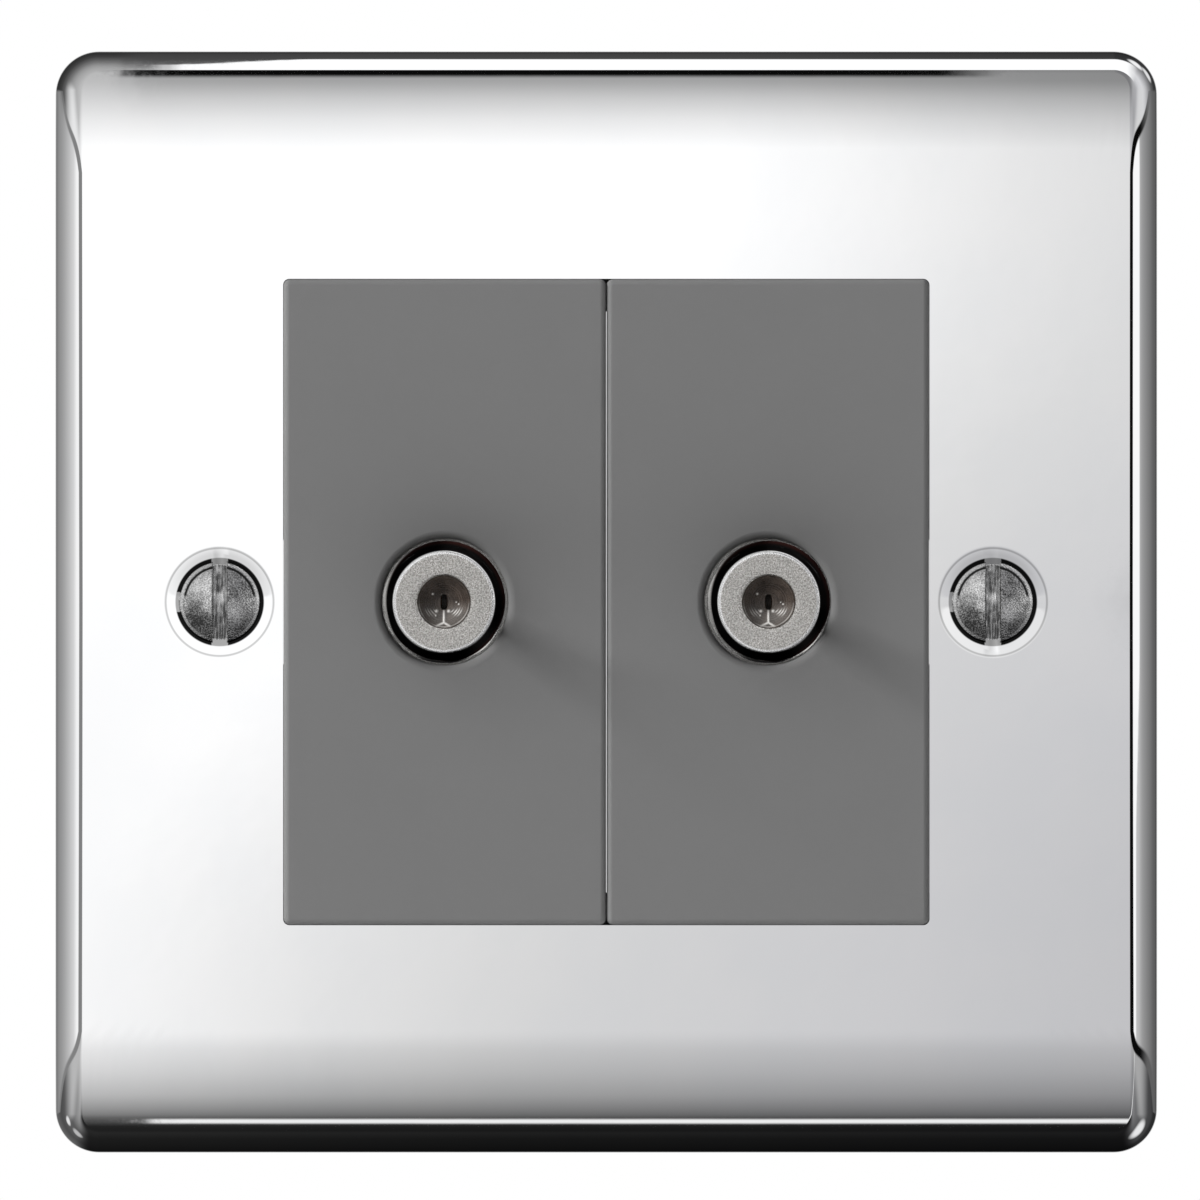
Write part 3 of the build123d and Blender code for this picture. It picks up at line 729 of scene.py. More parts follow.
def smooth_step(value):
    """3 v^2 - 2 v^3 of a value held between 0 and 1."""
    held = np.clip(value, 0, 1)
    return held * held * (3 - 2 * held)


def thread_wave(y, turn, pitch):
    """1 on a screw thread's crest and 0 in its root: a rounded trapezoid that moves one pitch a turn."""
    phase = np.mod(y / pitch - turn, 1.0)
    away = np.abs(phase - 0.5) * 2
    return smooth_step((0.88 - away) / 0.72)


def rounded(start, corner, end, radius, count=5):
    """Points of a quarter-like bend round a corner between two ends, as a quadratic curve."""
    start, corner, end = (np.array(p, float) for p in (start, corner, end))
    into = corner + (start - corner) / np.linalg.norm(start - corner) * radius
    out = corner + (end - corner) / np.linalg.norm(end - corner) * radius
    t = np.linspace(0, 1, count)[:, None]
    return (1 - t) ** 2 * into + 2 * t * (1 - t) * corner + t * t * out


def about_y(y, radius, angle, axis_x, axis_z=0.0):
    """Points at these heights along Y and distances from an axis along Y."""
    y, radius = np.broadcast_to(y, radius.shape), radius
    x = axis_x + radius * np.cos(angle)
    z = axis_z + radius * np.sin(angle)
    return np.stack([x, y, z], -1)


# Connector barrels

def connector_barrel(side, way):
    """The barrel as one closed surface of revolution, with rows along its section and columns round it.
    The radius in the threaded runs is the smaller of the section's own and crest less depth times
    (1 - wave), and between the hexagon's planes it is half the width over flats divided by the cosine
    of the angle from the nearest flat."""
    columns = 120
    angle = np.arange(columns) * 2 * np.pi / columns
    turn = angle / (2 * np.pi)
    nose, tail = barrel_low.y, barrel_high.y
    chamfer = barrel_thread_radius - barrel_nose_radius
    front_end = housing_low.y - barrel_relief_run
    rear_start = nut_high.y + barrel_relief_run
    mouth, rim, crest = barrel_mouth_radius, barrel_nose_radius, barrel_thread_radius
    step = barrel_thread_pitch / 12
    front_rows = np.arange(nose + chamfer + step, front_end, step)
    rear_rows = np.arange(rear_start, tail - chamfer, step)
    edge = 0.01 * MM

    def nose_end(y_end, inward):
        """The section of an end, from its bore out to the thread."""
        return np.vstack([
            [(y_end + inward * barrel_nose_lip, mouth)],
            rounded((y_end + inward * MM, mouth), (y_end, mouth), (y_end, rim), barrel_rim_round),
            [(y_end, mouth + k * (rim - mouth) / 4) for k in (1, 2, 3)],
            rounded((y_end, mouth), (y_end, rim), (y_end + inward * chamfer, crest), barrel_rim_round),
            [(y_end + inward * chamfer * k / 8, rim + chamfer * k / 8) for k in range(2, 9)],
        ])

    section = np.vstack([
        nose_end(nose, 1),
        np.stack([front_rows, np.full(len(front_rows), crest)], -1),
        [(front_end, barrel_relief_radius)],
        [(hexagon_front - edge, barrel_relief_radius)],
        [(hexagon_front, hexagon_across)],
        [(hexagon_front + hexagon_corner_cut, hexagon_across)],
        [(hexagon_back - hexagon_corner_cut, hexagon_across)],
        [(hexagon_back, hexagon_across)],
        [(hexagon_back + edge, barrel_relief_radius)],
        [(rear_start - edge, barrel_relief_radius)],
        np.stack([rear_rows, np.full(len(rear_rows), crest)], -1),
        nose_end(tail, -1)[::-1],
        [(tail - barrel_nose_lip, barrel_bore_radius)],
        [(nose + barrel_nose_lip, barrel_bore_radius)],
    ])
    y, base = section[:, :1], section[:, 1:]
    wave = thread_wave(y, turn, barrel_thread_pitch)
    threaded = (base > mouth) & ((y < front_end) & (y > nose) | (y > rear_start) & (y < tail))
    run_out = smooth_step(np.where(y < 0, front_end - y, y - rear_start) / barrel_thread_pitch)
    cut = crest - barrel_thread_depth * (1 - wave) * run_out
    radius = np.where(threaded & (base > rim), np.minimum(base, cut), base + 0 * wave)
    flat = np.mod(angle + np.pi / 6, np.pi / 3) - np.pi / 6
    hexagon = hexagon_across / 2 / np.cos(flat)
    corner = hexagon_across / np.sqrt(3)
    middle = (y > hexagon_front + hexagon_corner_cut / 2) & (y < hexagon_back - hexagon_corner_cut / 2)
    cut_down = np.where(middle, corner, corner - hexagon_corner_cut)
    radius = np.where(base == hexagon_across, np.minimum(hexagon, cut_down), radius)
    points = about_y(np.broadcast_to(y, radius.shape), radius, angle, way * connector_x)
    return make_piece(f"threaded_barrel_{side}", [shell(points, loop=True)], f"connector_barrel_{side}")


# Front insulators

def seam_distance(x, z):
    """How far a point is from the mould seam: a line down from the slot that forks before the rim."""
    fork = np.array([(0.0, -0.62), (0.0, -1.6), (-0.58, -1.88), (0.46, -1.88)]) * MM
    runs = ((fork[0], fork[1]), (fork[1], fork[2]), (fork[1], fork[3]))
    nearest = np.full(x.shape, np.inf)
    for a, b in runs:
        along = b - a
        share = np.clip(((x - a[0]) * along[0] + (z - a[1]) * along[1]) / (along @ along), 0, 1)
        gap = np.hypot(x - a[0] - share * along[0], z - a[1] - share * along[1])
        nearest = np.minimum(nearest, gap)
    return nearest


def front_insulator(side, way):
    """The insulator as rows from the bottom of its slot, up the slot's walls, out along the funnel
    and round the outside to its back. A row's outline goes from the slot's superellipse to a circle.
    The funnel rises with a power of the distance, and on it lie ring marks, a sine of the radius, and
    the seam and specks, bell curves of the distance to them. The seam attribute holds painted
    highlights: their paleness, that of the bright arcs, which are bell curves of radius and of angle,
    and a faint painted light that grows towards the bottom."""
    columns = 144
    angle = np.arange(columns) * 2 * np.pi / columns
    front, back = insulator_low.y, insulator_high.y
    outer = (insulator_high.x - insulator_low.x) / 2
    bottom = front + funnel_depth
    across = np.abs(np.cos(angle) / slot_half_width) ** slot_squareness
    upright = np.abs(np.sin(angle) / slot_half_height) ** slot_squareness
    slot = (across + upright) ** (-1 / slot_squareness)
    share = np.linspace(0, 1, 60)[:, None]
    funnel = slot * (1 - share) + barrel_mouth_radius * share
    x, z = funnel * np.cos(angle), funnel * np.sin(angle)
    distance = np.hypot(x, z)
    slope = (distance - funnel_radius) / (barrel_mouth_radius - funnel_radius)
    y = bottom - funnel_depth * np.clip(slope, 0, 1) ** funnel_curve
    fade = np.sin(np.pi * share) ** 0.5
    rings = 0.5 + 0.5 * np.cos(2 * np.pi * distance / ring_mark_spacing)
    seam = np.exp(-(seam_distance(x, z) / seam_width) ** 2)
    for spot_x, spot_z, size in seam_specks:
        away = np.hypot(x - spot_x * MM, z - spot_z * MM)
        seam = np.maximum(seam, np.exp(-(away / (size * MM)) ** 2))
    turn = np.degrees(np.arctan2(z, x)) % 360
    # The bright arcs are painted highlights on the ring marks
    marks = np.zeros_like(seam)
    for mark_radius, middle, reach, value in ring_mark_highlights:
        ring = np.exp(-((distance - mark_radius * MM) / tool_mark_width) ** 2)
        marks = np.maximum(marks, value * ring * np.exp(-((turn - middle) / reach) ** 2))
    y = y - fade * (ring_mark_height * rings + seam_height * seam)
    well = np.stack([x[:1], np.full((1, columns), bottom + slot_well), z[:1]], -1)
    lip = np.stack([x[:1], np.full((1, columns), bottom + 0.04 * MM), z[:1]], -1)
    face = np.stack([x, y, z], -1)
    rim = [(front, outer - 0.1 * MM), (front + 0.1 * MM, outer), (back, outer)]
    outside = np.stack([
        np.stack([r * np.cos(angle), np.full(columns, level), r * np.sin(angle)], -1)
        for level, r in rim
    ])
    points = np.concatenate([well, lip, face, outside])
    points[..., 0] += way * connector_x
    made = make_piece(f"slotted_insulator_{side}", [shell(points)], f"front_insulator_{side}", 50)
    shade = np.zeros(len(made.data.vertices), np.float32)
    start = 2 * columns
    # Painted light: the funnel is paler towards the bottom
    pale = 0.1 * smooth_step((0.3 * MM - z) / (1.4 * MM))
    shade[start:start + seam.size] = (np.maximum(np.maximum(seam, marks), pale) * fade).ravel()
    layer = made.data.attributes.new("seam", "FLOAT", "POINT")
    layer.data.foreach_set("value", shade)
    return made


# Fixing screws

def head_half(centre_x, way, floor_y, rim_y, top_y):
    """One side of the slotted head, cut along X into sections that shrink to a point at the rim.
    A section runs up one side of the band, over the dome and down the other side. The dome's height
    is the top's plus the fall of a sphere at that distance from the axis."""
    sphere = (fixing_head_radius ** 2 + fixing_head_dome ** 2) / (2 * fixing_head_dome)
    foot_radius = fixing_head_radius - (floor_y - rim_y - fixing_head_band)
    swing = np.linspace(0, np.pi / 2, 40)[:, None]
    slot_edge = np.array([0.0, 0.03, 0.08]) * MM
    stations = fixing_slot_half_width + (fixing_head_radius - fixing_slot_half_width) * np.sin(swing)
    stations = np.sort(np.concatenate([stations.ravel(), fixing_slot_half_width + slot_edge[1:]]))[:-1]
    x = stations[:, None]
    reach = np.sqrt(np.maximum(fixing_head_radius ** 2 - x ** 2, 1e-12))
    foot = np.sqrt(np.maximum(foot_radius ** 2 - x ** 2, 1e-13))
    across = np.sin(np.linspace(-np.pi / 2, np.pi / 2, 41))
    z = reach * across
    fall = sphere - np.sqrt(sphere ** 2 - np.minimum(x ** 2 + z ** 2, fixing_head_radius ** 2))
    edge_fall = fixing_edge_round * (1 - smooth_step((x - fixing_slot_half_width) / fixing_edge_round))
    dome = np.stack([x + 0 * z, top_y + fall + edge_fall, z], -1)
    band = rim_y + fixing_head_band

    def side(level, distance):
        return np.stack([x, np.full_like(x, level), distance], -1)

    points = np.concatenate([
        side(floor_y, -foot), side(band, -reach), dome, side(band, reach), side(floor_y, foot),
    ], axis=1)
    points[..., 0] = centre_x + way * points[..., 0]
    return shell(points)


def fixing_screw(side, way):
    """Two half heads over a turned body: slot floor, cone, plain neck and a thread of rolled form,
    whose radius is crest less depth times (1 - wave), run out at its start and cut back at its point."""
    columns = 60
    angle = np.arange(columns) * 2 * np.pi / columns
    centre_x = way * fixing_x
    top_y, tip_y = fixing_low.y, fixing_high.y
    rim_y = top_y + fixing_head_dome
    band_y = rim_y + fixing_head_band
    floor_y = top_y + fixing_slot_depth
    foot_radius = fixing_head_radius - (floor_y - band_y)
    neck_y = band_y + fixing_head_radius - fixing_neck_radius
    step = fixing_thread_pitch / 8
    run = np.arange(fixing_neck_end, tip_y - fixing_point, step)
    point_cuts = [fixing_point * k / 6 for k in range(7)]
    section = np.vstack([
        [(floor_y, foot_radius * share) for share in (0.02, 0.5, 1.0)],
        [(neck_y - 0.1 * MM, fixing_neck_radius + 0.1 * MM)],
        [(neck_y + 0.15 * MM, fixing_neck_radius)],
        [(fixing_neck_end - 0.2 * MM, fixing_neck_radius)],
        np.stack([run, np.full(len(run), fixing_thread_radius)], -1),
        [(tip_y - fixing_point + depth, fixing_thread_radius - depth) for depth in point_cuts],
    ])
    y, base = section[:, :1], section[:, 1:]
    wave = thread_wave(y, angle / (2 * np.pi), fixing_thread_pitch)
    run_in = smooth_step((y - fixing_neck_end) / (1.5 * fixing_thread_pitch))
    crest = fixing_neck_radius + (fixing_thread_radius - fixing_neck_radius) * run_in
    cut = crest - fixing_thread_depth * (1 - wave) * run_in
    radius = np.where(y >= fixing_neck_end, np.minimum(base, cut), base + 0 * wave)
    points = about_y(np.broadcast_to(y, radius.shape), radius, angle, centre_x)
    halves = [head_half(centre_x, turn, floor_y, rim_y, top_y) for turn in (-1, 1)]
    return make_piece(f"slotted_screw_{side}", [shell(points), *halves], f"fixing_screw_{side}", 30)


# Faceplate

# The plate's grid: how many columns and rows its parts have, and how far a dimple's block reaches
side_columns = 26
block_columns = 24
corner_columns = 22
lip_rows = 6
block_rows = 24
outer_rows = 18
fillet_rows = 20
block_share = 0.195
block_reach = 35.2 * MM


def plate_columns():
    """Each column's place on the square between the corner centres, scaled to 1, and the way it faces.
    A side's columns stand closer beside the dimple, and the four sides are quarter turns of the first."""
    far = np.linspace(block_share, 1, side_columns + 1)
    near = np.linspace(-block_share, block_share, block_columns + 1)
    run = np.concatenate([-far[::-1], near[1:-1], far])
    swing = np.linspace(0, np.pi / 2, corner_columns + 1)[1:-1]
    square = np.stack([np.ones_like(run), run], -1)
    facing = np.stack([np.ones_like(run), 0 * run], -1)
    square = np.vstack([square, np.ones((len(swing), 2))])
    facing = np.vstack([facing, np.stack([np.cos(swing), np.sin(swing)], -1)])
    turns = [np.array([[c, s], [-s, c]]) for c, s in ((1, 0), (0, 1), (-1, 0), (0, -1))]
    return np.vstack([square @ t for t in turns]), np.vstack([facing @ t for t in turns])


def crown(z, offset=0.0):
    """Height and facing of the front: flat in the middle, and a circle's arc beyond the crown's start.
    The offset goes inwards from the face, towards the circle's centre."""
    radius = crown_radius - offset
    over = np.maximum(np.abs(z) - crown_start, 0)
    y = plate_front_y + crown_radius - np.sqrt(radius ** 2 - over ** 2)
    rise = np.sign(z) * over / radius
    return y, np.stack([0 * z, -np.sqrt(1 - rise ** 2), rise], -1)


def plate_outline(columns, half, corner):
    """A rounded square in plan, with one point for each column."""
    square, facing = columns
    return (half - corner) * square + corner * facing


def lifted(plan, y):
    """Points of a plan at one height along Y, or at a height each."""
    return np.stack([plan[:, 0], np.broadcast_to(y, len(plan)), plan[:, 1]], -1)


def plate_rows(columns):
    """The plate's rows, from the aperture's lip out over the face, round the rolled rim, down the
    wall, and back inside one sheet thickness deeper. The rim is the path of a ball: its centre keeps
    one roll radius inside the wall and the crowned face, and a point of the rim is that centre plus
    the radius times a direction turned evenly from the face's facing to the wall's. The lip faces
    forwards, to mirror what the face does. With the rows come their facings, whether each row's are
    worked out, the first row of the face and the last one of its back."""
    square, facing = columns
    count = len(square)
    wall_facing = lifted(facing, 0.0)
    forwards = np.tile((0.0, -1.0, 0.0), (count, 1))
    centre_plan = plate_outline(columns, plate_half - face_roll, plate_corner - face_roll)
    centre_y, face_facing = crown(centre_plan[:, 1], face_roll)
    centre = lifted(centre_plan, centre_y)
    swing = np.arccos(np.clip(np.sum(face_facing * wall_facing, -1), -1, 1))[:, None]
    rows, normals, exact = [], [], []

    def add(points, normal=None):
        rows.append(points)
        normals.append(np.zeros((count, 3)) if normal is None else normal)
        exact.append(normal is not None)

    for bend in np.linspace(0, np.pi / 2, lip_rows):
        inset = aperture_lip * (1 - math.cos(bend))
        plan = plate_outline(columns, aperture_half + inset, aperture_corner + inset)
        add(lifted(plan, plate_front_y + aperture_lip * (1 - math.sin(bend))), forwards)
    first_face_row = len(rows) - 1
    lip_plan = plate_outline(columns, aperture_half + aperture_lip, aperture_corner + aperture_lip)
    contact = (centre + face_roll * face_facing)[:, [0, 2]]
    face_run = plate_half - face_roll - aperture_half - aperture_lip
    block_end = (block_reach - aperture_half - aperture_lip) / face_run
    shares = np.concatenate([
        np.linspace(0, block_end, block_rows + 1), np.linspace(block_end, 1, outer_rows + 1)[1:],
    ])
    faces = []
    for share in shares:
        plan = lip_plan + share * (contact - lip_plan)
        y, normal = crown(plan[:, 1])
        faces.append((lifted(plan, y), normal))
    for points, normal in faces[1:]:
        add(points, normal)
    rolls = []
    for share in np.linspace(0, 1, fillet_rows + 1)[1:]:
        turned = np.sin(swing * (1 - share)) * face_facing + np.sin(swing * share) * wall_facing
        rolls.append(turned / np.sin(swing))
    for turned in rolls:
        add(centre + face_roll * turned, turned)
    wall = plate_outline(columns, plate_half, plate_corner)
    for share in (0.4, 0.8, 1.0):
        add(lifted(wall, centre_y * (1 - share)), wall_facing)
    exact[-1] = False
    inner_wall = plate_outline(columns, plate_half - plate_sheet, plate_corner - plate_sheet)
    add(lifted(inner_wall, 0.0))
    for turned in rolls[::-1]:
        add(centre + (face_roll - plate_sheet) * turned)
    for points, normal in faces[::-1]:
        add(points - plate_sheet * normal)
    last_back_row = len(rows) - 1
    add(lifted(plate_outline(columns, aperture_half, aperture_corner), plate_front_y + plate_sheet))
    return rows, normals, exact, first_face_row, last_back_row


def block_edge(grid, first, last, low, high):
    """The grid's points round a block of rows and columns, in order."""
    way = 1 if last > first else -1
    down = grid[first:last + way:way]
    return np.concatenate([
        grid[first, low:high], down[:-1, high], grid[last, high:low:-1], down[:0:-1, low],
    ])


def dimple_rings(square_edge, centre_x):
    """The rings of a pressed dimple: from a block's edge in plan to a circle, over its lip, down a
    45 degree cone and back along the cone's other side. A ring has its points, its facings and
    whether they are worked out. A facing leans up or down only, by a small share of the slope."""
    away = square_edge - np.array([centre_x, 0])
    away /= np.linalg.norm(away, axis=1, keepdims=True)
    count = len(square_edge)
    rim = dimple_radius + dimple_lip * math.tan(math.pi / 8)
    back_rim = dimple_radius + (math.sqrt(2) - 1) * plate_sheet
    hole_y = plate_front_y + dimple_radius - screw_hole_radius
    land_y = hole_y + dimple_land
    land = dimple_radius - (land_y - plate_front_y) + math.sqrt(2) * plate_sheet
    cone_lean = math.pi / 4 * dimple_lean
    rings = []

    def ring(radius, y, tilt=None, share=1.0):
        plan = square_edge * (1 - share) + (np.array([centre_x, 0]) + radius * away) * share
        points = np.stack([plan[:, 0], np.full(count, y), plan[:, 1]], -1)
        if tilt is None:
            rings.append((points, np.zeros((count, 3)), False))
            return
        lean = tilt * away[:, 1]
        rings.append((points, np.stack([0 * lean, -np.cos(lean), -np.sin(lean)], -1), True))

    ring(rim, plate_front_y, 0.0, 0.4)
    ring(rim, plate_front_y, 0.0, 0.8)
    for bend in np.linspace(0, math.pi / 4, 9):
        lip_y = plate_front_y + dimple_lip * (1 - math.cos(bend))
        ring(rim - dimple_lip * math.sin(bend), lip_y, bend * dimple_lean)
    ring((screw_hole_radius + dimple_radius) / 2, (hole_y + plate_front_y) / 2, cone_lean)
    ring(screw_hole_radius, hole_y, cone_lean)
    rings[-1] = (*rings[-1][:2], False)
    ring(screw_hole_radius, land_y)
    ring(land, land_y)
    ring(back_rim, plate_front_y + plate_sheet)
    ring(back_rim, plate_front_y + plate_sheet, None, 0.5)
    return rings


def faceplate():
    """The pressed plate as one closed surface: a grid of rows and columns, in which each dimple's
    rings take the place of a block in the face and one in its back. The studs are added to it."""
    columns = plate_columns()
    rows, normals, exact, first_face_row, last_back_row = plate_rows(columns)
    count = len(columns[0])
    quarter = count // 4
    grid = np.arange(len(rows) * count).reshape(len(rows), count)
    kept = np.ones(grid.shape, bool)
    vertices, facings = [np.concatenate(rows)], [np.concatenate(normals)]
    made_faces, face_exact = [], []
    total = grid.size
    front = (first_face_row, first_face_row + block_rows)
    back = (last_back_row, last_back_row - block_rows)
    for turn, centre_x in ((0, fixing_x), (2, -fixing_x)):
        low = turn * quarter + side_columns
        high = low + block_columns
        kept[front[0]:front[1], low:high] = False
        kept[back[1]:back[0], low:high] = False
        front_edge = block_edge(grid, *front, low, high)
        indices, flags = [front_edge], [True]
        for points, normal, flag in dimple_rings(vertices[0][front_edge][:, [0, 2]], centre_x):
            vertices.append(points)
            facings.append(normal)
            indices.append(np.arange(len(points)) + total)
            flags.append(flag)
            total += len(points)
        indices.append(block_edge(grid, *back, low, high))
        for upper, lower, flag in zip(indices[:-1], indices[1:], flags):
            made_faces.append(np.stack([upper, lower, np.roll(lower, -1), np.roll(upper, -1)], -1))
            face_exact.append(np.full(len(upper), flag))
    lower = np.roll(grid, -1, 0)
    quads = np.stack([grid, lower, np.roll(lower, -1, 1), np.roll(grid, -1, 1)], -1)
    made_faces.append(quads[kept])
    face_exact.append(np.repeat(np.array(exact)[:, None], count, 1)[kept])
    studs = []
    for node_side in ("left", "right"):
        for node_end in ("upper", "lower"):
            low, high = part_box(f"retainer_{node_end}_{node_side}")
            studs.append(stud((low.x + high.x) / 2, (low.z + high.z) / 2))
    return plate_piece(
        np.concatenate(vertices),
        np.concatenate(made_faces).tolist(),
        np.concatenate(facings),
        np.concatenate(face_exact),
        studs,
    )


def stud(x, z):
    """A welded stud: a straight pin with a chamfered tip."""
    angle = np.arange(32) * np.pi / 16
    tip = 0.3 * MM
    section = np.array([
        (plate_front_y + 0.6 * plate_sheet, stud_radius),
        (stud_tip - tip, stud_radius),
        (stud_tip, stud_radius - tip),
    ])
    radius = section[:, 1:] + 0 * angle
    return shell(about_y(section[:, :1] + 0 * angle, radius, angle, x, z))


def plate_piece(vertices, faces, facings, exact, studs):
    """The faceplate's object: its faces turned outwards, with the worked-out facings on its bands."""
    mesh = bpy.data.meshes.new("pressed_faceplate")
    before = len(vertices)
    plain = []
    for points, quads, caps in studs:
        vertices = np.vstack([vertices, points])
        plain += (quads + before).tolist() + (caps + before).tolist()
        before += len(points)
    mesh.from_pydata(vertices.tolist(), [], faces + plain)
    shaper = bmesh.new()
    shaper.from_mesh(mesh)
    bmesh.ops.recalc_face_normals(shaper, faces=shaper.faces)
    shaper.to_mesh(mesh)
    shaper.free()
    mesh.shade_smooth()
    mesh.set_sharp_from_angle(angle=math.radians(30))
    corner_vertex = np.zeros(len(mesh.loops), int)
    mesh.loops.foreach_get("vertex_index", corner_vertex)
    corner_count = np.zeros(len(mesh.polygons), int)
    mesh.polygons.foreach_get("loop_total", corner_count)
    flags = np.concatenate([exact, np.zeros(len(plain), bool)])
    facings = np.vstack([facings, np.zeros((len(vertices) - len(facings), 3))])
    custom = np.where(np.repeat(flags, corner_count)[:, None], facings[corner_vertex], 0)
    mesh.normals_split_custom_set(custom.tolist())
    made = bpy.data.objects.new("pressed_faceplate", mesh)
    bpy.context.scene.collection.objects.link(made)
    mesh.materials.append(finishes["polished_chrome"])
    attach(made, nodes["faceplate"]["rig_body"])
    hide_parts("faceplate")
    return made


faceplate()
for side, way in (("left", -1), ("right", 1)):
    connector_barrel(side, way)
    front_insulator(side, way)
    fixing_screw(side, way)


# Studio: world, lamps and floor

# Tones of the room that metal mirrors, by the angle of turn in degrees
above_tones = (
    (0, 1), (7, 1), (14, 0.78), (18.8, 0.58), (23, 0.36), (36, 0.3), (60, 0.12), (90, 0.062),
    (128, 0.05), (150, 0.015),
)
below_tones = (
    (0, 1), (2, 0.94), (5.5, 0.8), (11, 0.66), (16.4, 0.48), (20, 0.28), (21.2, 0.2), (22, 0.1),
    (24, 0.014), (34, 0.02), (60, 0.012), (150, 0.005),
)
upper_left_tones = (
    (0, 1), (7, 1), (14, 0.8), (23, 0.5), (34, 0.42), (47, 0.36), (60, 0.28), (73, 0.18), (89, 0.1),
    (106, 0.05), (128, 0.03),
)
upper_right_tones = (
    (0, 1), (7, 1), (14, 0.82), (23, 0.62), (34, 0.72), (47, 1.1), (60, 1.2), (73, 0.85), (89, 0.5),
    (106, 0.21), (128, 0.06),
)
lower_left_tones = (
    (0, 1), (2, 0.94), (5.5, 0.8), (11, 0.66), (16.4, 0.48), (27, 0.3), (47, 0.17), (60, 0.1),
    (77, 0.1), (105, 0.07), (128, 0.1), (150, 0.12),
)
lower_right_tones = (
    (0, 1), (2, 0.94), (5.5, 0.8), (11, 0.66), (16.4, 0.46), (33, 0.27), (45, 0.21), (59, 0.16),
    (73, 0.14), (89, 0.11), (107, 0.09), (123, 0.04),
)
left_panel_tones = (
    (0, 0.95), (27, 0.95), (40, 0.69), (63, 0.52), (83, 0.4), (100, 0.33), (121, 0.277), (140, 0.2),
)
right_panel_tones = (
    (0, 0.7), (40, 0.5), (54.5, 0.35), (63.5, 0.3), (78.5, 0.24), (95, 0.19), (115, 0.13),
    (131, 0.115), (150, 0.06),
)
# How the room dims from the upper left (0) to the lower right (1)
wash_tones = (
    (0, 1.09), (0.095, 1.02), (0.19, 0.925), (0.286, 0.835), (0.429, 0.75),
    (0.571, (0.7, 0.7, 0.706, 1)), (0.786, (0.655, 0.655, 0.668, 1)), (1, (0.605, 0.605, 0.62, 1)),
)
# Turns between which the black and the white line lie
black_line_turns = (24.2, 38.3)
white_line_turns = (22.2, 23.2)
# Glints: turn, way round from the right and radius in degrees, and tone
glints = (
    (76, -45, 15, 0.85), (78, -153, 7, 0.8), (75, -127, 8, 0.5), (106, 56, 10, 0.95),
    (116, 34, 9, 0.8),
)


def add_area(name, place, aim, size, power):
    """A soft square lamp that chrome and nickel don't mirror: their reflections come from the world."""
    data = bpy.data.lights.new(name, "AREA")
    data.shape = "SQUARE"
    data.size = size
    data.energy = power
    lamp = bpy.data.objects.new(name, data)
    lamp.location = place
    direction = np.array(aim, float) - np.array(place, float)
    flat = math.hypot(direction[0], direction[1])
    lamp.rotation_euler = (math.atan2(flat, -direction[2]), 0, math.atan2(-direction[0], direction[1]))
    lamp.visible_glossy = False
    bpy.context.scene.collection.objects.link(lamp)
    return lamp


def without_connector_shadows(lamp):
    """Lets only the plate, the modules and what is behind them block a lamp."""
    blockers = bpy.data.collections.new("shadow_casters")
    for piece in bpy.context.scene.objects:
        in_front = piece.name.startswith(("threaded_barrel", "slotted_insulator", "connector_barrel"))
        if piece.type == "MESH" and not in_front:
            blockers.objects.link(piece)
    lamp.light_linking.blocker_collection = blockers


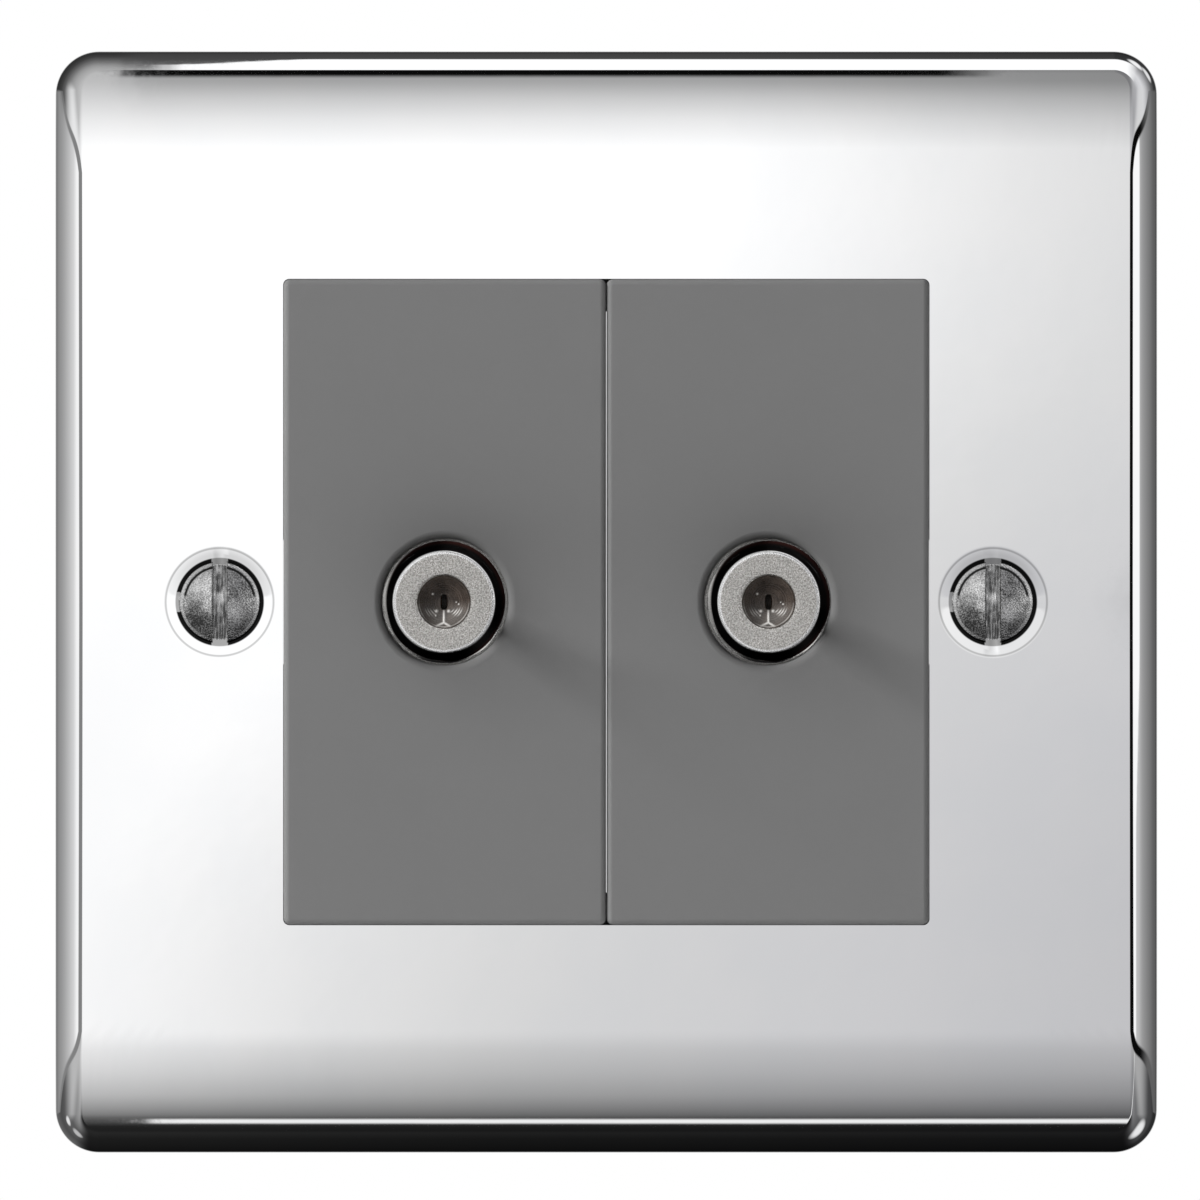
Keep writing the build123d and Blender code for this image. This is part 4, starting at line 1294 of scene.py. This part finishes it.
def studio_world():
    """White behind the object, a soft light on it, and for what metal mirrors a pale room with dark
    cards. Turn is the angle from the camera's side, and upright is 1 straight above or below and 0 at
    the sides. The room has a tone by turn above, below and for each corner between them, is paler
    beside the corners, and dims from the upper left to the lower right. Over it lie a black line and
    a white band above, a thin white line below, five glints, and a panel at each side, edged with a
    line. A panel's end is a curve: it rises towards its full height as 1 minus a falling exponential
    of the distance to the side."""
    world = bpy.data.worlds.new("studio")
    bpy.context.scene.world = world
    world.use_nodes = True
    tree = world.node_tree
    background = tree.nodes["Background"]
    direction = tree.nodes.new("ShaderNodeTexCoord").outputs["Generated"]
    parts = tree.nodes.new("ShaderNodeSeparateXYZ")
    feed(tree, parts.inputs[0], direction)
    x, y, z = parts.outputs
    turn = calc(tree, "DIVIDE", calc(tree, "ARCCOSINE", calc(tree, "MULTIPLY", y, -1.0)), math.pi)
    flat = calc(tree, "ADD", calc(tree, "MULTIPLY", x, x), calc(tree, "MULTIPLY", z, z))
    spread = calc(tree, "MAXIMUM", calc(tree, "SQRT", flat), 1e-6)
    upright = calc(tree, "DIVIDE", calc(tree, "ABSOLUTE", z), spread)
    on_right = ease(tree, x, -0.01, 0.01)
    upper_half = ease(tree, z, -0.01, 0.01)
    lower_half = calc(tree, "SUBTRACT", 1.0, upper_half)

    def by_turn(stops):
        """A tone along the turn, through (degrees, tone) stops."""
        return ramp(tree, turn, [(angle / 180, value) for angle, value in stops])

    def at_turn(low, high, to_low=0.0, to_high=1.0):
        """A smooth step between two turns in degrees."""
        return ease(tree, turn, low / 180, high / 180, to_low, to_high)

    def band(first, last, soft=0.6):
        """1 between two angles of turn, given in degrees, with soft edges."""
        start = at_turn(first - soft, first + soft)
        return calc(tree, "MULTIPLY", start, at_turn(last + soft, last - soft))

    def both(*masks):
        """The product of masks: 1 where all of them are."""
        result = masks[0]
        for mask in masks[1:]:
            result = calc(tree, "MULTIPLY", result, mask)
        return result

    left_end = ease(tree, x, -0.0243, -0.0222)
    near_edge = ease(tree, upright, 0.8, 0.975)
    upper_corners = mix(tree, on_right, by_turn(upper_left_tones), by_turn(upper_right_tones))
    lower_corners = mix(tree, on_right, by_turn(lower_left_tones), by_turn(lower_right_tones))
    over = mix(tree, both(near_edge, left_end), upper_corners, by_turn(above_tones))
    under = mix(tree, near_edge, lower_corners, by_turn(below_tones))
    held_z = ease(tree, z, -crown_view, crown_view, -crown_view, crown_view)
    glow = calc(tree, "SUBTRACT", calc(tree, "MULTIPLY", x, 0.8), calc(tree, "MULTIPLY", held_z, 0.65))
    fall = calc(tree, "MULTIPLY", calc(tree, "ADD", glow, 0.009), 1 / 0.042)
    room = mix(tree, 1.0, mix(tree, upper_half, under, over), ramp(tree, fall, wash_tones), "MULTIPLY")

    beside = both(ease(tree, upright, 0.6, 0.3), at_turn(5, 12), at_turn(90, 40))
    beside_below = mix(tree, on_right, grey(0.5), grey(0.4))
    beside_above = mix(tree, on_right, grey(0.85), grey(0.7))
    room = mix(tree, beside, room, mix(tree, upper_half, beside_below, beside_above))

    black_start, black_end = ease(tree, x, -0.0238, -0.023), ease(tree, x, 0.0195, 0.0165)
    black_reach = both(upper_half, near_edge, black_start, black_end)
    room = mix(tree, both(band(*black_line_turns), black_reach), room, grey(0.003))
    white_top = ease(tree, x, -0.0216, -0.014, 62 / 180, 91 / 180)
    past_top = calc(tree, "SUBTRACT", turn, white_top)
    white_band = both(at_turn(37.8, 39.5), ease(tree, past_top, 3 / 180, -3 / 180))
    white_end = both(near_edge, ease(tree, x, -0.0226, -0.0202))
    white_reach = both(upper_half, mix(tree, on_right, white_end, ease(tree, upright, 0.74, 0.95)))
    room = mix(tree, both(white_band, white_reach), room, grey(1.1))
    line_start, line_end = ease(tree, x, -0.0226, -0.0218), ease(tree, upright, 0.15, 0.3)
    line_reach = both(lower_half, mix(tree, on_right, line_start, line_end))
    room = mix(tree, both(band(*white_line_turns, 0.35), line_reach), room, grey(0.9))

    def glint(angle, around, size, value, base):
        """The base with a bright spot: its turn, its way round from the right and its radius, in
        degrees, and its tone."""
        angle, around = math.radians(angle), math.radians(around)
        aim = tree.nodes.new("ShaderNodeVectorMath")
        aim.operation = "DOT_PRODUCT"
        feed(tree, aim.inputs[0], direction)
        aim.inputs[1].default_value = (
            math.sin(angle) * math.cos(around), -math.cos(angle), math.sin(angle) * math.sin(around),
        )
        faint, full = (math.cos(math.radians(size * share)) for share in (1.5, 0.5))
        return mix(tree, ease(tree, aim.outputs["Value"], faint, full), base, grey(value))

    for spot in glints:
        room = glint(*spot, room)

    side = calc(tree, "ABSOLUTE", x)
    level = calc(tree, "ABSOLUTE", z)

    def inside(first, quickness, low, full, drop=0.0):
        """How far a direction is inside a panel's curved end, which starts at first at the side and
        rises to low in the lower half and to full in the upper one."""
        height = ease(tree, z, -0.03, 0.03, low, full)
        run = calc(tree, "MULTIPLY", calc(tree, "SUBTRACT", side, first), -quickness)
        top = calc(tree, "MULTIPLY", height, calc(tree, "SUBTRACT", 1.0, calc(tree, "EXPONENT", run)))
        return calc(tree, "SUBTRACT", calc(tree, "SUBTRACT", top, drop), level)

    far_end = both(ease(tree, upright, 0.11, 0.2), at_turn(75, 115))
    whole = mix(tree, on_right, inside(0.045, 3.2, 0.14, 0.19), inside(0.027, 6.0, 0.12, 0.2))
    panel = both(ease(tree, whole, -0.004, 0.008), calc(tree, "SUBTRACT", 1.0, far_end))
    core_left, core_right = inside(0.25, 3.2, 0.14, 0.19, 0.014), inside(0.2, 6.0, 0.12, 0.2, 0.036)
    lit = ease(tree, mix(tree, on_right, core_left, core_right), -0.004, 0.012)
    shine_end = ease(tree, z, -0.012, -0.002, 27 / 180, 42 / 180)
    past_shine = ease(tree, calc(tree, "SUBTRACT", turn, shine_end), -2 / 180, 4 / 180)
    right_panel = mix(tree, past_shine, grey(1.0), by_turn(right_panel_tones))
    left_toned = mix(tree, lit, grey(0.23), by_turn(left_panel_tones))
    right_toned = mix(tree, lit, at_turn(45, 85, 0.003, 0.12), right_panel)
    mirrored = mix(tree, panel, room, mix(tree, on_right, left_toned, right_toned))
    mirrored = mix(tree, at_turn(150, 163), mirrored, grey(0.6))

    from_upper_left = calc(
        tree,
        "ADD",
        calc(tree, "MULTIPLY", x, -0.6),
        calc(tree, "SUBTRACT", calc(tree, "MULTIPLY", z, 0.5), calc(tree, "MULTIPLY", y, 0.5)),
    )
    soft = mix(tree, ease(tree, from_upper_left, -0.9, 0.9), grey(0.02), grey(0.32))
    soft = mix(tree, ease(tree, y, -0.05, 0.4), soft, grey(0.62))
    light_path = tree.nodes.new("ShaderNodeLightPath")
    even = mix(tree, light_path.outputs["Is Glossy Ray"], soft, mirrored)
    seen = mix(tree, light_path.outputs["Is Camera Ray"], even, grey(1.0))
    feed(tree, background.inputs["Color"], seen)


def pale_floor():
    """A plain pale floor well below the outlet. It takes the shadow and isn't mirrored in the chrome."""
    level = plate_low.z - floor_drop
    corners = [(x * floor_reach, y * floor_reach, level) for x, y in ((-1, -1), (1, -1), (1, 1), (-1, 1))]
    mesh = bpy.data.meshes.new("floor")
    mesh.from_pydata(corners, [], [(0, 1, 2, 3)])
    floor = bpy.data.objects.new("floor", mesh)
    material, tree, into = new_finish("floor_paint")
    tone = noise(tree, place_on_object(tree), 0.2, detail=3.0)
    feed(tree, into["Base Color"], mix(tree, tone, grey(0.86), grey(0.9)))
    into["Roughness"].default_value = 0.8
    mesh.materials.append(material)
    floor.visible_glossy = False
    bpy.context.scene.collection.objects.link(floor)


studio_world()
pale_floor()
add_area("key_lamp", (-0.9, -1.3, 0.9), (0, 0, 0), 0.8, 3.3)
edge_lamp = add_area("edge_lamp", (-1.4, -0.42, 0.75), (0, 0, 0), 0.5, 36.0)
without_connector_shadows(edge_lamp)
add_area("back_lamp", (0.5, 1.5, 0.8), (0, 0, 0), 1.0, 14.0)

bpy.context.scene.view_settings.view_transform = "Standard"
